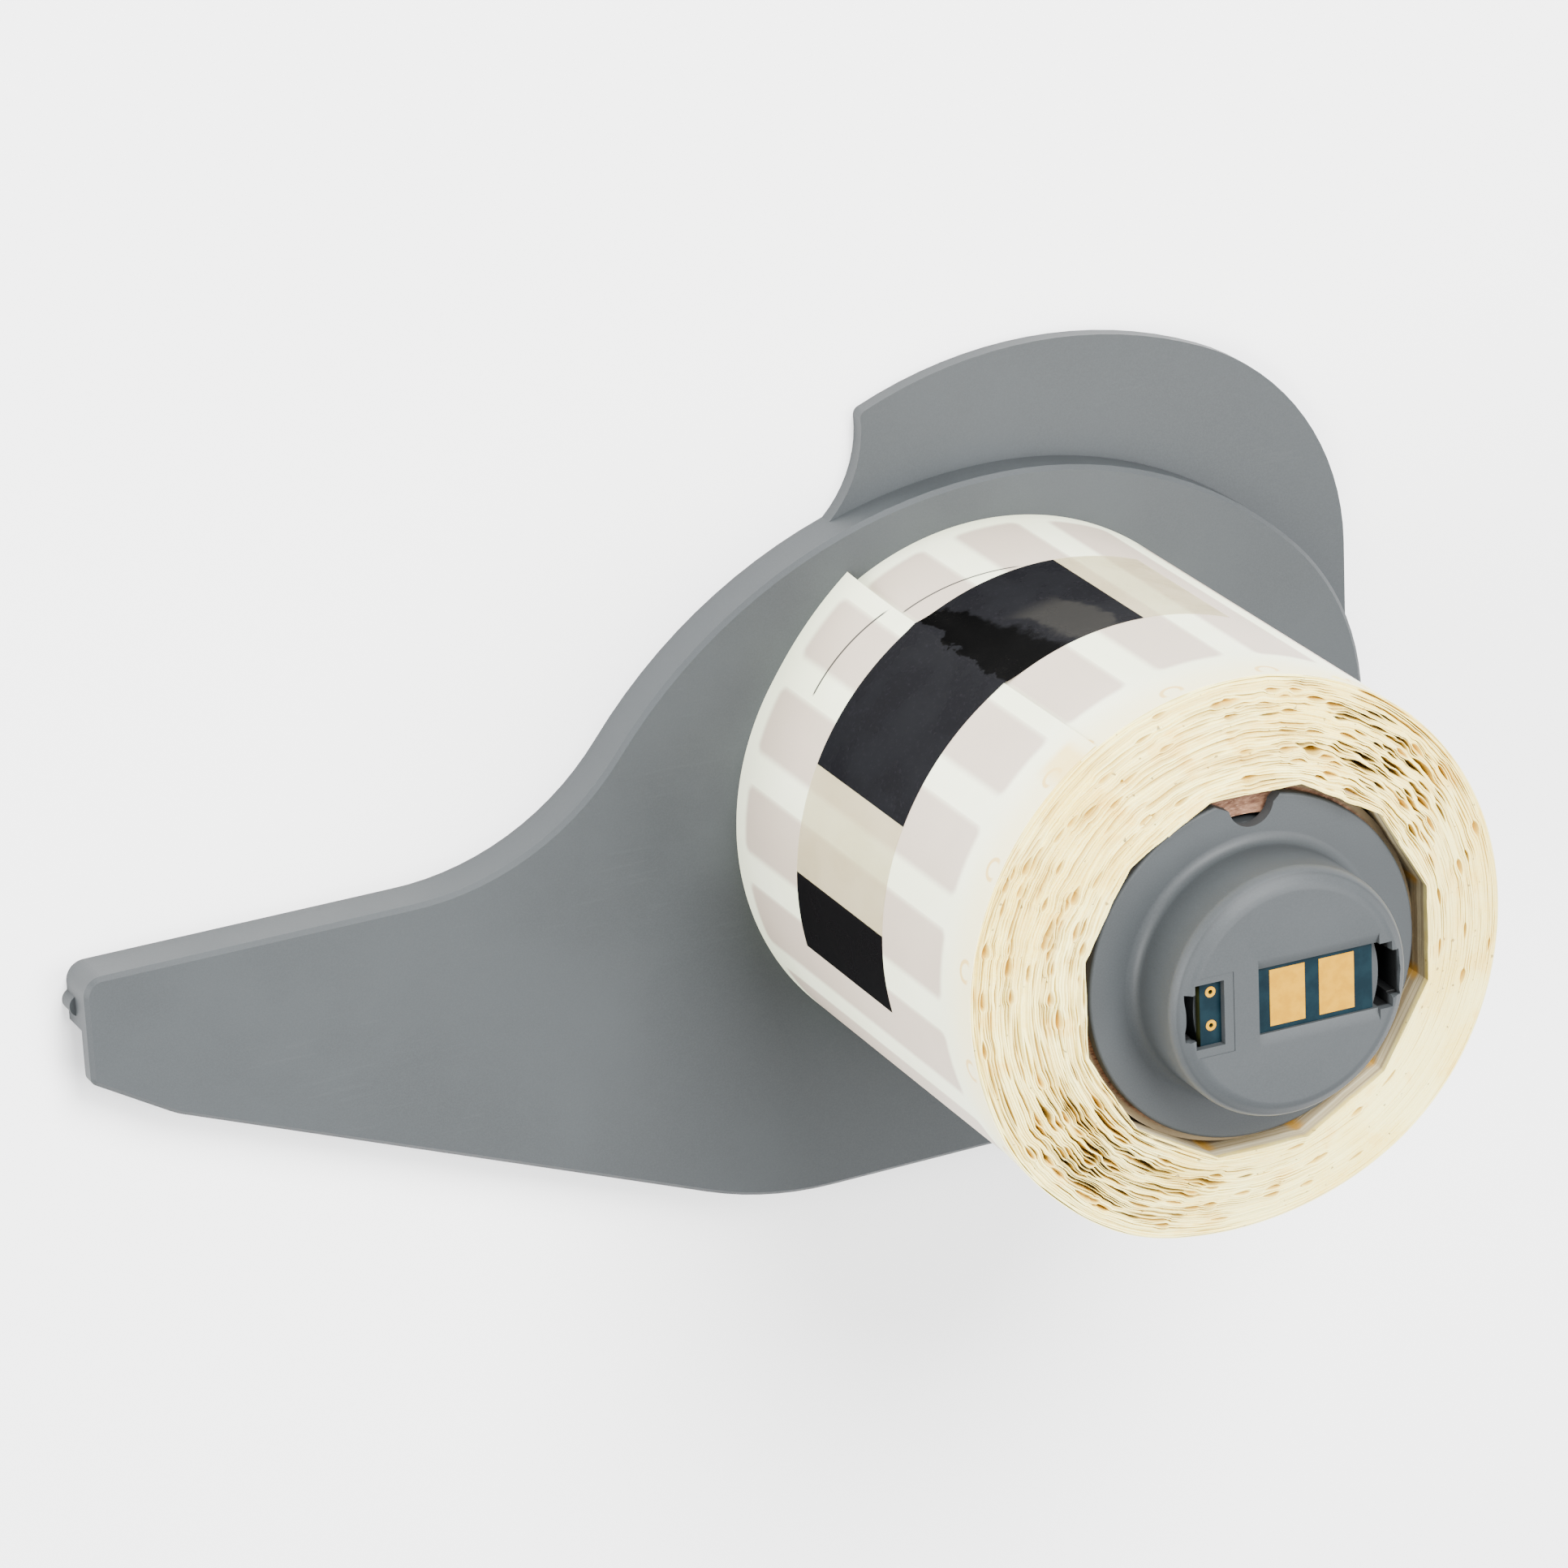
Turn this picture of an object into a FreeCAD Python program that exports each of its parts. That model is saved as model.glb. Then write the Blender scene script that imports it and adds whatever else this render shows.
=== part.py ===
import FreeCAD, Part
import math
import os
import Sketcher

# Printer label cartridge: a moulded side plate with a fixed hub sleeve, an end cap that holds a
# contact board, and a cardboard core that turns on the sleeve and carries the wound label strip.
# Millimetres. The plate stands on its open back, so Z runs up the roll axis towards the cap's nose,
# X runs away from the plate's tail and Y towards its finger fin.

os.makedirs("parts", exist_ok=True)
doc = FreeCAD.newDocument("label_roll")
vector = FreeCAD.Vector

# Sizes, in millimetres and degrees

# side plate
plate_depth = 6.2
plate_wall = 2.25
face_bevel = 0.5
tail_reach = 112.2
tail_top_drop = 0.55
tail_tip_drop = 13.1
tail_top_round = 2.2
tail_tip_round = 1.0
tail_bend_inset = 9.7
tail_bend_drop = 18.9
tail_bend_round = 10.0
neck_reach = 73.1
neck_radius = 33.0
shoulder_reach = 46.94
shoulder_rise = 12.89
shoulder_radius = 63.0
crown_offset = 3.0
crown_rise = 37.5
crown_radius = 53.0
brow_offset = 40.8
brow_rise = 21.65
cheek_radius = 30.0
plate_right = 49.4
cheek_rise = 0.62
heel_drop = 5.8
heel_radius = 40.0
heel_offset = 9.4
sole_drop = 45.8
belly_reach = 30.8
belly_drop = 46.6
belly_round = 42.0
end_gap_drop = 7.3
nub_drop = 4.9
nub_inset = 0.6
nub_radius = 1.3
nub_height = 2.5
rib_width = 1.4
rib_clear = 1.2

# finger fin
fin_thickness = 2.0
fin_corner_reach = 12.95
fin_corner_rise = 46.3
fin_corner_round = 1.0
fin_top_radius = 55.0
fin_side_offset = 31.3
fin_side_rise = 46.46
fin_side_radius = 30.0
fin_right_rise = 18.96
fin_foot_reach = 19.6
fin_foot_rise = 32.34
fin_notch_radius = 14.6

# hub sleeve
sleeve_radius = 16.5
sleeve_bore = 14.9
sleeve_top = 68.5
socket_bore = 15.3
socket_depth = 6.5
guide_radius = 17.12
guide_width = 2.4
guide_base = 9.0
guide_top = 64.0

# end cap
disc_radius = 20.0
disc_thickness = 1.5
nose_radius = 14.45
nose_height = 9.5
nose_chamfer_width = 1.75
nose_chamfer_drop = 1.3
nose_root_bevel = 0.8
plug_clearance = 0.03
plug_wall = 2.6
plug_gap = 0.5
nose_floor = 6.2
notch_half_width = 2.7
notch_depth = 3.1
notch_flare = 2.2
notch_flare_depth = 0.9
slot_half_length = 12.1
slot_half_width = 3.95
slot_depth = 5.0
slot_end_length = 13.2
slot_end_half_width = 2.6
skin = 0.95
strap_start = 8.5
strap_end = 4.35
window_slope = 1.6
seat_radius = 11.35

# contact board
board_start = 11.05
board_end = 10.05
board_half_width = 3.9
board_thickness = 1.0
pad_thickness = 0.06
pad_width = 4.3
pad_half_height = 3.28
near_pad_start = 2.55
far_pad_start = 3.5
via_offset = 9.75
upper_via_rise = 2.35
lower_via_drop = 1.55
via_radius = 0.62
via_hole = 0.27

# core and roll
core_bore = 17.2
core_radius = 21.0
core_base = 7.0
core_length = 61.0
roll_radius = 32.7
roll_base = 6.1
roll_width = 60.4
roll_cone = 5.3
turn_groove = 0.75
strip_step = 0.15
strip_end_angle = 120.5
label_thickness = 0.1
label_base = 8.7
label_width = 50.8
label_arc = 14.6
label_pitch = 21.18
label_start = 124.5
tape_thickness = 0.06
tape_base = 22.7
tape_width = 22.1
tape_start = 69.5
black_start = 88.7
black_end = 154.8
bar_start = 177.3
tape_end = 193.7
tape_bridge = 3.0

# every size goes to a cell of its own, named as it is here
sizes = {alias: value for alias, value in globals().items() if isinstance(value, float)}
sheet = doc.addObject("Spreadsheet::Sheet", "Sizes")
for row, (alias, value) in enumerate(sizes.items(), start=1):
    sheet.set("A%d" % row, alias)
    sheet.set("B%d" % row, str(value))
    sheet.setAlias("B%d" % row, alias)
doc.recompute()


def name(alias):
    return "Sizes." + alias


def evaluate(text):
    return float(sheet.evalExpression(text.replace("Sizes.", "")))


# Sketch helpers

def plane(body, role):
    for feature in body.Origin.OriginFeatures:
        if feature.Role == role:
            return feature


def new_body(label):
    body = doc.addObject("PartDesign::Body", label)
    body.Label = label
    return body


def new_sketch(body, label, role="XY_Plane", lift=None):
    sketch = body.newObject("Sketcher::SketchObject", label)
    sketch.AttachmentSupport = [(plane(body, role), "")]
    sketch.MapMode = "FlatFace"
    if lift:
        sketch.setExpression("AttachmentOffset.Base.z", lift)
    return sketch


def outline(sketch, corners, values):
    """Closed outline. Each corner is (x, y, radius, side) in expressions: the last two bend the
    edge that leaves the corner, with its centre on the left (1) or the right (-1)."""
    count = len(corners)
    points = [(values(corner[0]), values(corner[1])) for corner in corners]
    starts = []
    for index, corner in enumerate(corners):
        ax, ay = points[index]
        bx, by = points[(index + 1) % count]
        if corner[2] is None:
            edge = sketch.addGeometry(Part.LineSegment(vector(ax, ay, 0), vector(bx, by, 0)), False)
            starts.append((edge, 1, 2))
            continue
        radius = values(corner[2])
        chord = math.hypot(bx - ax, by - ay)
        reach = math.sqrt(max(radius * radius - chord * chord / 4.0, 0.0))
        cx = (ax + bx) / 2.0 - corner[3] * reach * (by - ay) / chord
        cy = (ay + by) / 2.0 + corner[3] * reach * (bx - ax) / chord
        first = math.atan2(ay - cy, ax - cx)
        last = math.atan2(by - cy, bx - cx)
        circle = Part.Circle(vector(cx, cy, 0), vector(0, 0, 1), radius)
        if corner[3] > 0:
            edge = sketch.addGeometry(Part.ArcOfCircle(circle, first, last), False)
            starts.append((edge, 1, 2))
        else:
            edge = sketch.addGeometry(Part.ArcOfCircle(circle, last, first), False)
            starts.append((edge, 2, 1))
    for index, corner in enumerate(corners):
        edge, begin, end = starts[index]
        follower, follower_begin, follower_end = starts[(index + 1) % count]
        sketch.addConstraint(Sketcher.Constraint("Coincident", edge, end, follower, follower_begin))
    for index, corner in enumerate(corners):
        edge, begin, end = starts[index]
        across = sketch.addConstraint(
            Sketcher.Constraint("DistanceX", -1, 1, edge, begin, points[index][0]))
        sketch.setExpression("Constraints[%d]" % across, corner[0])
        along = sketch.addConstraint(
            Sketcher.Constraint("DistanceY", -1, 1, edge, begin, points[index][1]))
        sketch.setExpression("Constraints[%d]" % along, corner[1])
        if corner[2] is not None:
            bend = sketch.addConstraint(Sketcher.Constraint("Radius", edge, values(corner[2])))
            sketch.setExpression("Constraints[%d]" % bend, corner[2])
    return sketch


def rectangle(sketch, left, bottom, right, top):
    corners = [(left, bottom, None, 0), (right, bottom, None, 0),
               (right, top, None, 0), (left, top, None, 0)]
    return outline(sketch, corners, evaluate)


def ring(sketch, radius, across="0", along="0"):
    circle = Part.Circle(vector(evaluate(across), evaluate(along), 0), vector(0, 0, 1), evaluate(radius))
    edge = sketch.addGeometry(circle, False)
    bend = sketch.addConstraint(Sketcher.Constraint("Radius", edge, evaluate(radius)))
    sketch.setExpression("Constraints[%d]" % bend, radius)
    if across == "0" and along == "0":
        sketch.addConstraint(Sketcher.Constraint("Coincident", edge, 3, -1, 1))
        return sketch
    x_place = sketch.addConstraint(
        Sketcher.Constraint("DistanceX", -1, 1, edge, 3, evaluate(across)))
    sketch.setExpression("Constraints[%d]" % x_place, across)
    y_place = sketch.addConstraint(
        Sketcher.Constraint("DistanceY", -1, 1, edge, 3, evaluate(along)))
    sketch.setExpression("Constraints[%d]" % y_place, along)
    return sketch


def drilled(sketch, radius, across, along):
    """A hole well under a millimetre across, drawn with eight sides."""
    corners = []
    for index in range(8):
        turn = math.radians(22.5 + 45 * index)
        corners.append(("%s + %s * %.5f" % (across, radius, math.cos(turn)),
                        "%s + %s * %.5f" % (along, radius, math.sin(turn)), None, 0))
    return outline(sketch, corners, evaluate)


def pad(body, label, sketch, length):
    feature = body.newObject("PartDesign::Pad", label)
    feature.Profile = sketch
    feature.setExpression("Length", length)
    sketch.Visibility = False
    doc.recompute()
    return feature


def pocket(body, label, sketch, length, down=True):
    before = body.Tip.Shape.Volume
    feature = body.newObject("PartDesign::Pocket", label)
    feature.Profile = sketch
    feature.Reversed = not down
    feature.setExpression("Length", length)
    doc.recompute()
    if body.Tip.Shape.Volume >= before - 1e-6:
        raise RuntimeError(label + " cuts nothing")
    return feature


def upright_edges(shape, x, y):
    found = []
    for index, edge in enumerate(shape.Edges):
        ends = [vertex.Point for vertex in edge.Vertexes]
        if len(ends) == 2 and all(math.hypot(end.x - x, end.y - y) < 0.05 for end in ends):
            found.append("Edge%d" % (index + 1))
    return found


def level_edges(shape, height):
    found = []
    for index, edge in enumerate(shape.Edges):
        ends = [vertex.Point for vertex in edge.Vertexes]
        if all(abs(end.z - height) < 0.01 for end in ends):
            found.append("Edge%d" % (index + 1))
    return found


def fillet(body, label, edges, radius):
    before = body.Tip
    feature = body.newObject("PartDesign::Fillet", label)
    feature.Base = (before, edges)
    feature.setExpression("Radius", radius)
    doc.recompute()
    return feature


# Side plate: the pan, the finger fin, the nub at the tail's end, and the hub sleeve

side_plate = new_body("side_plate")
plate_outline = new_sketch(side_plate, "plate_outline")
outline(plate_outline, [
    ("-Sizes.tail_reach", "-Sizes.tail_top_drop", None, 0),
    ("-Sizes.tail_reach", "-Sizes.tail_tip_drop", None, 0),
    ("-Sizes.tail_reach + Sizes.tail_bend_inset", "-Sizes.tail_bend_drop", None, 0),
    ("-Sizes.belly_reach", "-Sizes.belly_drop", None, 0),
    ("Sizes.heel_offset", "-Sizes.sole_drop", name("heel_radius"), 1),
    (name("plate_right"), "-Sizes.heel_drop", None, 0),
    (name("plate_right"), name("cheek_rise"), name("cheek_radius"), 1),
    (name("brow_offset"), name("brow_rise"), name("crown_radius"), 1),
    (name("crown_offset"), name("crown_rise"), name("shoulder_radius"), 1),
    ("-Sizes.shoulder_reach", name("shoulder_rise"), name("neck_radius"), -1),
    ("-Sizes.neck_reach", "0", None, 0),
], evaluate)
pad(side_plate, "plate_block", plate_outline, name("plate_depth"))

corner_rounds = [
    ("tail_bend_corner", tail_reach - tail_bend_inset, tail_bend_drop, "tail_bend_round"),
    ("belly_corner", belly_reach, belly_drop, "belly_round"),
]
for label, reach, drop, radius in corner_rounds:
    edges = upright_edges(side_plate.Tip.Shape, -reach, -drop)
    fillet(side_plate, label, edges, name(radius))

rounded_block = side_plate.Tip
back_face = None
for index, face in enumerate(rounded_block.Shape.Faces):
    if abs(face.CenterOfMass.z) < 0.01:
        back_face = "Face%d" % (index + 1)
shell = side_plate.newObject("PartDesign::Thickness", "plate_shell")
shell.Base = (rounded_block, [back_face])
shell.setExpression("Value", name("plate_wall"))
shell.Reversed = True
shell.Mode = 0
shell.Join = 1
doc.recompute()

if shell.Shape.Volume > 0.5 * rounded_block.Shape.Volume:
    raise RuntimeError("plate_shell is not hollow")

for label, drop, radius in (("tail_top_corner", "tail_top_drop", "tail_top_round"),
                            ("tail_tip_corner", "tail_tip_drop", "tail_tip_round")):
    edges = upright_edges(side_plate.Tip.Shape, -sizes["tail_reach"], -sizes[drop])
    fillet(side_plate, label, edges, name(radius))
face_edges = level_edges(side_plate.Tip.Shape, sizes["plate_depth"])
edge_bevel = side_plate.newObject("PartDesign::Chamfer", "face_edge_bevel")
edge_bevel.Base = (doc.getObject("tail_tip_corner"), face_edges)
edge_bevel.setExpression("Size", name("face_bevel"))
doc.recompute()

# the fin is a thin panel, level with the plate's back
fin_outline = new_sketch(side_plate, "fin_outline")
outline(fin_outline, [
    ("-Sizes.fin_foot_reach", name("fin_foot_rise"), "Sizes.shoulder_radius - Sizes.plate_wall / 2", -1),
    (name("crown_offset"), "Sizes.crown_rise - Sizes.plate_wall / 2",
     "Sizes.crown_radius - Sizes.plate_wall / 2", -1),
    ("Sizes.brow_offset - Sizes.plate_wall * 0.357", "Sizes.brow_rise - Sizes.plate_wall * 0.35",
     "Sizes.cheek_radius - Sizes.plate_wall / 2", -1),
    ("Sizes.plate_right - Sizes.plate_wall / 2", name("cheek_rise"), None, 0),
    (name("plate_right"), name("cheek_rise"), None, 0),
    (name("plate_right"), name("fin_right_rise"), name("fin_side_radius"), 1),
    (name("fin_side_offset"), name("fin_side_rise"), name("fin_top_radius"), 1),
    ("-Sizes.fin_corner_reach", name("fin_corner_rise"), name("fin_notch_radius"), -1),
], evaluate)
fin = pad(side_plate, "fin_panel", fin_outline, name("fin_thickness"))
fin_corner = upright_edges(fin.Shape, -sizes["fin_corner_reach"], sizes["fin_corner_rise"])
fillet(side_plate, "fin_corner_soft", fin_corner, name("fin_corner_round"))

# the end wall of the tail is open below the nub
end_gap = new_sketch(side_plate, "end_gap_outline")
rectangle(end_gap, "-Sizes.tail_reach - 1", "-Sizes.tail_bend_drop + 1",
          "-Sizes.tail_reach + Sizes.plate_wall + 0.4", "-Sizes.end_gap_drop")
pocket(side_plate, "end_gap", end_gap, "Sizes.plate_depth - Sizes.plate_wall", down=False)

nub_outline = new_sketch(side_plate, "nub_outline")
ring(nub_outline, name("nub_radius"), "-Sizes.tail_reach + Sizes.nub_inset", "-Sizes.nub_drop")
pad(side_plate, "nub", nub_outline, name("nub_height"))

# stiffening ribs under the sheet, from the sleeve to the skirt
rib_ends = [
    ("tail_rib", "-Sizes.tail_reach + Sizes.tail_bend_inset - 6", "-9.5"),
    ("belly_rib", "-Sizes.belly_reach - 4", "-Sizes.belly_drop + 5"),
    ("shoulder_rib", "-Sizes.shoulder_reach + 14", "Sizes.shoulder_rise + 12"),
    ("crown_rib", "Sizes.brow_offset - 12", "Sizes.brow_rise + 5"),
    ("heel_rib", "Sizes.plate_right - 14", "-Sizes.sole_drop + 18"),
]
for label, far_x, far_y in rib_ends:
    rib = side_plate.newObject("Sketcher::SketchObject", label + "_outline")
    rib.AttachmentSupport = [(plane(side_plate, "XY_Plane"), "")]
    rib.MapMode = "FlatFace"
    rib.setExpression("AttachmentOffset.Base.z", name("rib_clear"))
    ex, ey = evaluate(far_x), evaluate(far_y)
    reach = math.hypot(ex, ey)
    angle = math.degrees(math.atan2(ey, ex))
    rib.AttachmentOffset = FreeCAD.Placement(vector(0, 0, sizes["rib_clear"]),
                                             FreeCAD.Rotation(vector(0, 0, 1), angle))
    rectangle(rib, "Sizes.sleeve_bore + 0.8", "-Sizes.rib_width / 2",
              "sqrt((%s)^2 + (%s)^2)" % (far_x, far_y), "Sizes.rib_width / 2")
    pad(side_plate, label, rib, "Sizes.plate_depth - Sizes.plate_wall / 2 - Sizes.rib_clear")

sleeve_outline = new_sketch(side_plate, "sleeve_outline")
ring(sleeve_outline, name("sleeve_radius"))
pad(side_plate, "sleeve", sleeve_outline, name("sleeve_top"))

for index in range(4):
    guide = new_sketch(side_plate, "guide_outline_%d" % (index + 1))
    guide.AttachmentOffset = FreeCAD.Placement(vector(0, 0, sizes["guide_base"]),
                                               FreeCAD.Rotation(vector(0, 0, 1), 45 + 90 * index))
    guide.setExpression("AttachmentOffset.Base.z", name("guide_base"))
    corners = [("Sizes.sleeve_bore + 0.5", "-Sizes.guide_width / 2", None, 0),
               ("sqrt(Sizes.guide_radius^2 - Sizes.guide_width^2 / 4)", "-Sizes.guide_width / 2",
                name("guide_radius"), 1),
               ("sqrt(Sizes.guide_radius^2 - Sizes.guide_width^2 / 4)", "Sizes.guide_width / 2", None, 0),
               ("Sizes.sleeve_bore + 0.5", "Sizes.guide_width / 2", None, 0)]
    outline(guide, corners, evaluate)
    pad(side_plate, "core_guide_%d" % (index + 1), guide, "Sizes.guide_top - Sizes.guide_base")

sleeve_hollow = new_sketch(side_plate, "sleeve_hollow_outline")
ring(sleeve_hollow, name("sleeve_bore"))
pocket(side_plate, "sleeve_hollow", sleeve_hollow, "Sizes.sleeve_top + 1", down=False)
socket_outline = new_sketch(side_plate, "socket_outline", lift=name("sleeve_top"))
ring(socket_outline, name("socket_bore"))
pocket(side_plate, "cap_socket", socket_outline, name("socket_depth"))

# End cap: the disc that keeps the core on, the nose, and the plug inside the sleeve

end_cap = new_body("end_cap")
cap_profile = new_sketch(end_cap, "cap_profile", "XZ_Plane")
top = "(Sizes.sleeve_top + Sizes.disc_thickness + Sizes.nose_height)"
disc_face = "(Sizes.sleeve_top + Sizes.disc_thickness)"
plug = "Sizes.socket_bore - Sizes.plug_clearance"
outline(cap_profile, [
    ("0", top + " - Sizes.nose_floor", None, 0),
    (plug + " - Sizes.plug_wall", top + " - Sizes.nose_floor", None, 0),
    (plug + " - Sizes.plug_wall", "Sizes.sleeve_top - Sizes.socket_depth + Sizes.plug_gap", None, 0),
    (plug, "Sizes.sleeve_top - Sizes.socket_depth + Sizes.plug_gap", None, 0),
    (plug, name("sleeve_top"), None, 0),
    (name("disc_radius"), name("sleeve_top"), None, 0),
    (name("disc_radius"), disc_face, None, 0),
    ("Sizes.nose_radius + Sizes.nose_root_bevel", disc_face, None, 0),
    (name("nose_radius"), disc_face + " + Sizes.nose_root_bevel", None, 0),
    (name("nose_radius"), top + " - Sizes.nose_chamfer_drop", None, 0),
    ("Sizes.nose_radius - Sizes.nose_chamfer_width", top, None, 0),
    ("0", top, None, 0),
], evaluate)
cap_turned = end_cap.newObject("PartDesign::Revolution", "cap_turned")
cap_turned.Profile = cap_profile
cap_turned.ReferenceAxis = (cap_profile, ["V_Axis"])
cap_turned.Angle = 360
doc.recompute()

notch = new_sketch(end_cap, "notch_outline", lift="Sizes.sleeve_top - 0.5")
outline(notch, [
    ("-Sizes.notch_half_width", "Sizes.disc_radius - Sizes.notch_depth", None, 0),
    ("Sizes.notch_half_width", "Sizes.disc_radius - Sizes.notch_depth", None, 0),
    ("Sizes.notch_half_width", "Sizes.disc_radius + 1", None, 0),
    ("-Sizes.notch_half_width - Sizes.notch_flare - 1", "Sizes.disc_radius + 1", None, 0),
    ("-Sizes.notch_half_width", "Sizes.disc_radius - Sizes.notch_flare_depth", None, 0),
], evaluate)
pocket(end_cap, "disc_notch", notch, "Sizes.disc_thickness + 1", down=False)

# the slot for the contact board lies under a thin skin, with a window each side of a strap
slot = new_sketch(end_cap, "slot_outline", lift=top + " - Sizes.skin")
outline(slot, [
    ("-Sizes.slot_half_length", "-Sizes.slot_half_width", None, 0),
    ("Sizes.slot_half_length", "-Sizes.slot_half_width", None, 0),
    ("Sizes.slot_half_length", "-Sizes.slot_end_half_width", None, 0),
    ("Sizes.slot_end_length", "-Sizes.slot_end_half_width", None, 0),
    ("Sizes.slot_end_length", "Sizes.slot_end_half_width", None, 0),
    ("Sizes.slot_half_length", "Sizes.slot_end_half_width", None, 0),
    ("Sizes.slot_half_length", "Sizes.slot_half_width", None, 0),
    ("-Sizes.slot_half_length", "Sizes.slot_half_width", None, 0),
    ("-Sizes.slot_half_length", "Sizes.slot_end_half_width", None, 0),
    ("-Sizes.slot_end_length", "Sizes.slot_end_half_width", None, 0),
    ("-Sizes.slot_end_length", "-Sizes.slot_end_half_width", None, 0),
    ("-Sizes.slot_half_length", "-Sizes.slot_end_half_width", None, 0),
], evaluate)
pocket(end_cap, "board_slot", slot, "Sizes.slot_depth - Sizes.skin")

seat = new_sketch(end_cap, "seat_outline", lift=top + " - Sizes.slot_depth - 0.2")
seat_corner = "sqrt(Sizes.seat_radius^2 - Sizes.slot_half_width^2)"
outline(seat, [
    ("-" + seat_corner, "-Sizes.slot_half_width", None, 0),
    (seat_corner, "-Sizes.slot_half_width", name("seat_radius"), 1),
    (seat_corner, "Sizes.slot_half_width", None, 0),
    ("-" + seat_corner, "Sizes.slot_half_width", name("seat_radius"), 1),
], evaluate)
pad(end_cap, "board_seat", seat, "Sizes.slot_depth + 0.2 - Sizes.skin - Sizes.board_thickness")

small_window = new_sketch(end_cap, "small_window_outline", lift=top)
outline(small_window, [
    ("-Sizes.slot_half_length", "-Sizes.slot_half_width + 0.2", None, 0),
    ("-Sizes.strap_start", "-Sizes.slot_half_width + 0.2", None, 0),
    ("-Sizes.strap_start", "Sizes.slot_half_width - 0.2", None, 0),
    ("-Sizes.slot_half_length", "Sizes.slot_half_width - 0.2", None, 0),
    ("-Sizes.slot_half_length", "Sizes.slot_end_half_width", None, 0),
    ("-Sizes.slot_end_length", "Sizes.slot_end_half_width", None, 0),
    ("-Sizes.slot_end_length", "-Sizes.slot_end_half_width", None, 0),
    ("-Sizes.slot_half_length", "-Sizes.slot_end_half_width", None, 0),
], evaluate)
pocket(end_cap, "small_window", small_window, "Sizes.skin + 0.1")

big_window = new_sketch(end_cap, "big_window_outline", lift=top)
outline(big_window, [
    ("-Sizes.strap_end", "-Sizes.slot_half_width + 0.1", None, 0),
    ("Sizes.slot_half_length", "-Sizes.slot_half_width + 0.1", None, 0),
    ("Sizes.slot_half_length", "-Sizes.slot_end_half_width", None, 0),
    ("Sizes.slot_end_length", "-Sizes.slot_end_half_width", None, 0),
    ("Sizes.slot_end_length", "Sizes.slot_end_half_width", None, 0),
    ("Sizes.slot_half_length", "Sizes.slot_end_half_width", None, 0),
    ("Sizes.slot_half_length", "Sizes.slot_half_width - 0.1", None, 0),
    ("-Sizes.strap_end", "Sizes.slot_half_width - 0.1", None, 0),
], evaluate)
pocket(end_cap, "big_window", big_window, "Sizes.skin + 0.1")

# sloped lips above and below the big window lead the printer's contacts onto the pads
for label, side in (("lower_lip", -1), ("upper_lip", 1)):
    lip = new_sketch(end_cap, label + "_outline", "YZ_Plane", lift="-Sizes.strap_end")
    edge = "Sizes.slot_half_width - 0.15"
    outline(lip, [
        ("%d * (%s)" % (side, edge), top + " - Sizes.skin + 0.35", None, 0),
        ("%d * (%s + Sizes.window_slope)" % (side, edge), top + " + 0.05", None, 0),
        ("%d * (%s)" % (side, edge), top + " + 0.05", None, 0),
    ][::side], evaluate)
    pocket(end_cap, label, lip, "Sizes.slot_half_length - 1.6 + Sizes.strap_end", down=False)

# Contact board in the slot, with its two pads and two plated holes

board_top = "(" + top + " - Sizes.skin)"
memory_board = new_body("memory_board")
board_outline = new_sketch(memory_board, "board_outline", lift=board_top + " - Sizes.board_thickness")
rectangle(board_outline, "-Sizes.board_start", "-Sizes.board_half_width + 0.05",
          name("board_end"), "Sizes.board_half_width - 0.05")
pad(memory_board, "board_sheet", board_outline, "Sizes.board_thickness - 0.02")
for label, rise in (("upper_hole", "Sizes.upper_via_rise"), ("lower_hole", "-Sizes.lower_via_drop")):
    hole = new_sketch(memory_board, label + "_outline", lift=board_top)
    drilled(hole, name("via_hole"), "-Sizes.via_offset", rise)
    pocket(memory_board, label, hole, "Sizes.board_thickness + 0.1")

for label, start in (("contact_pad_near", "-Sizes.near_pad_start"),
                     ("contact_pad_far", "Sizes.far_pad_start")):
    contact = new_body(label)
    shape = new_sketch(contact, label + "_outline", lift=board_top + " - 0.02")
    rectangle(shape, start, "-Sizes.pad_half_height", start + " + Sizes.pad_width",
              name("pad_half_height"))
    pad(contact, label + "_plating", shape, name("pad_thickness"))

for label, rise in (("plated_hole_upper", "Sizes.upper_via_rise"),
                    ("plated_hole_lower", "-Sizes.lower_via_drop")):
    plated = new_body(label)
    shape = new_sketch(plated, label + "_outline", lift=board_top + " - 0.02")
    ring(shape, name("via_radius"), "-Sizes.via_offset", rise)
    drilled(shape, name("via_hole"), "-Sizes.via_offset", rise)
    pad(plated, label + "_plating", shape, name("pad_thickness"))

# Cardboard core

cardboard_core = new_body("cardboard_core")
core_outline = new_sketch(cardboard_core, "core_outline", lift=name("core_base"))
ring(core_outline, name("core_radius"))
ring(core_outline, name("core_bore"))
pad(cardboard_core, "core_tube", core_outline, name("core_length"))

# Roll: the wound turns are one solid of revolution with a coned, grooved face, trimmed by the
# winding's outer curve, which steps where the strip ends, and cored by a many-sided bore

turn_count = 5
bore_start = "Sizes.core_radius + 0.3"
span = "(Sizes.roll_radius + 1 - (%s))" % bore_start
roll_front = "(Sizes.roll_base + Sizes.roll_width + Sizes.roll_cone)"


def cone_height(share):
    return "%s - Sizes.roll_cone * %s" % (roll_front, share)


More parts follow.
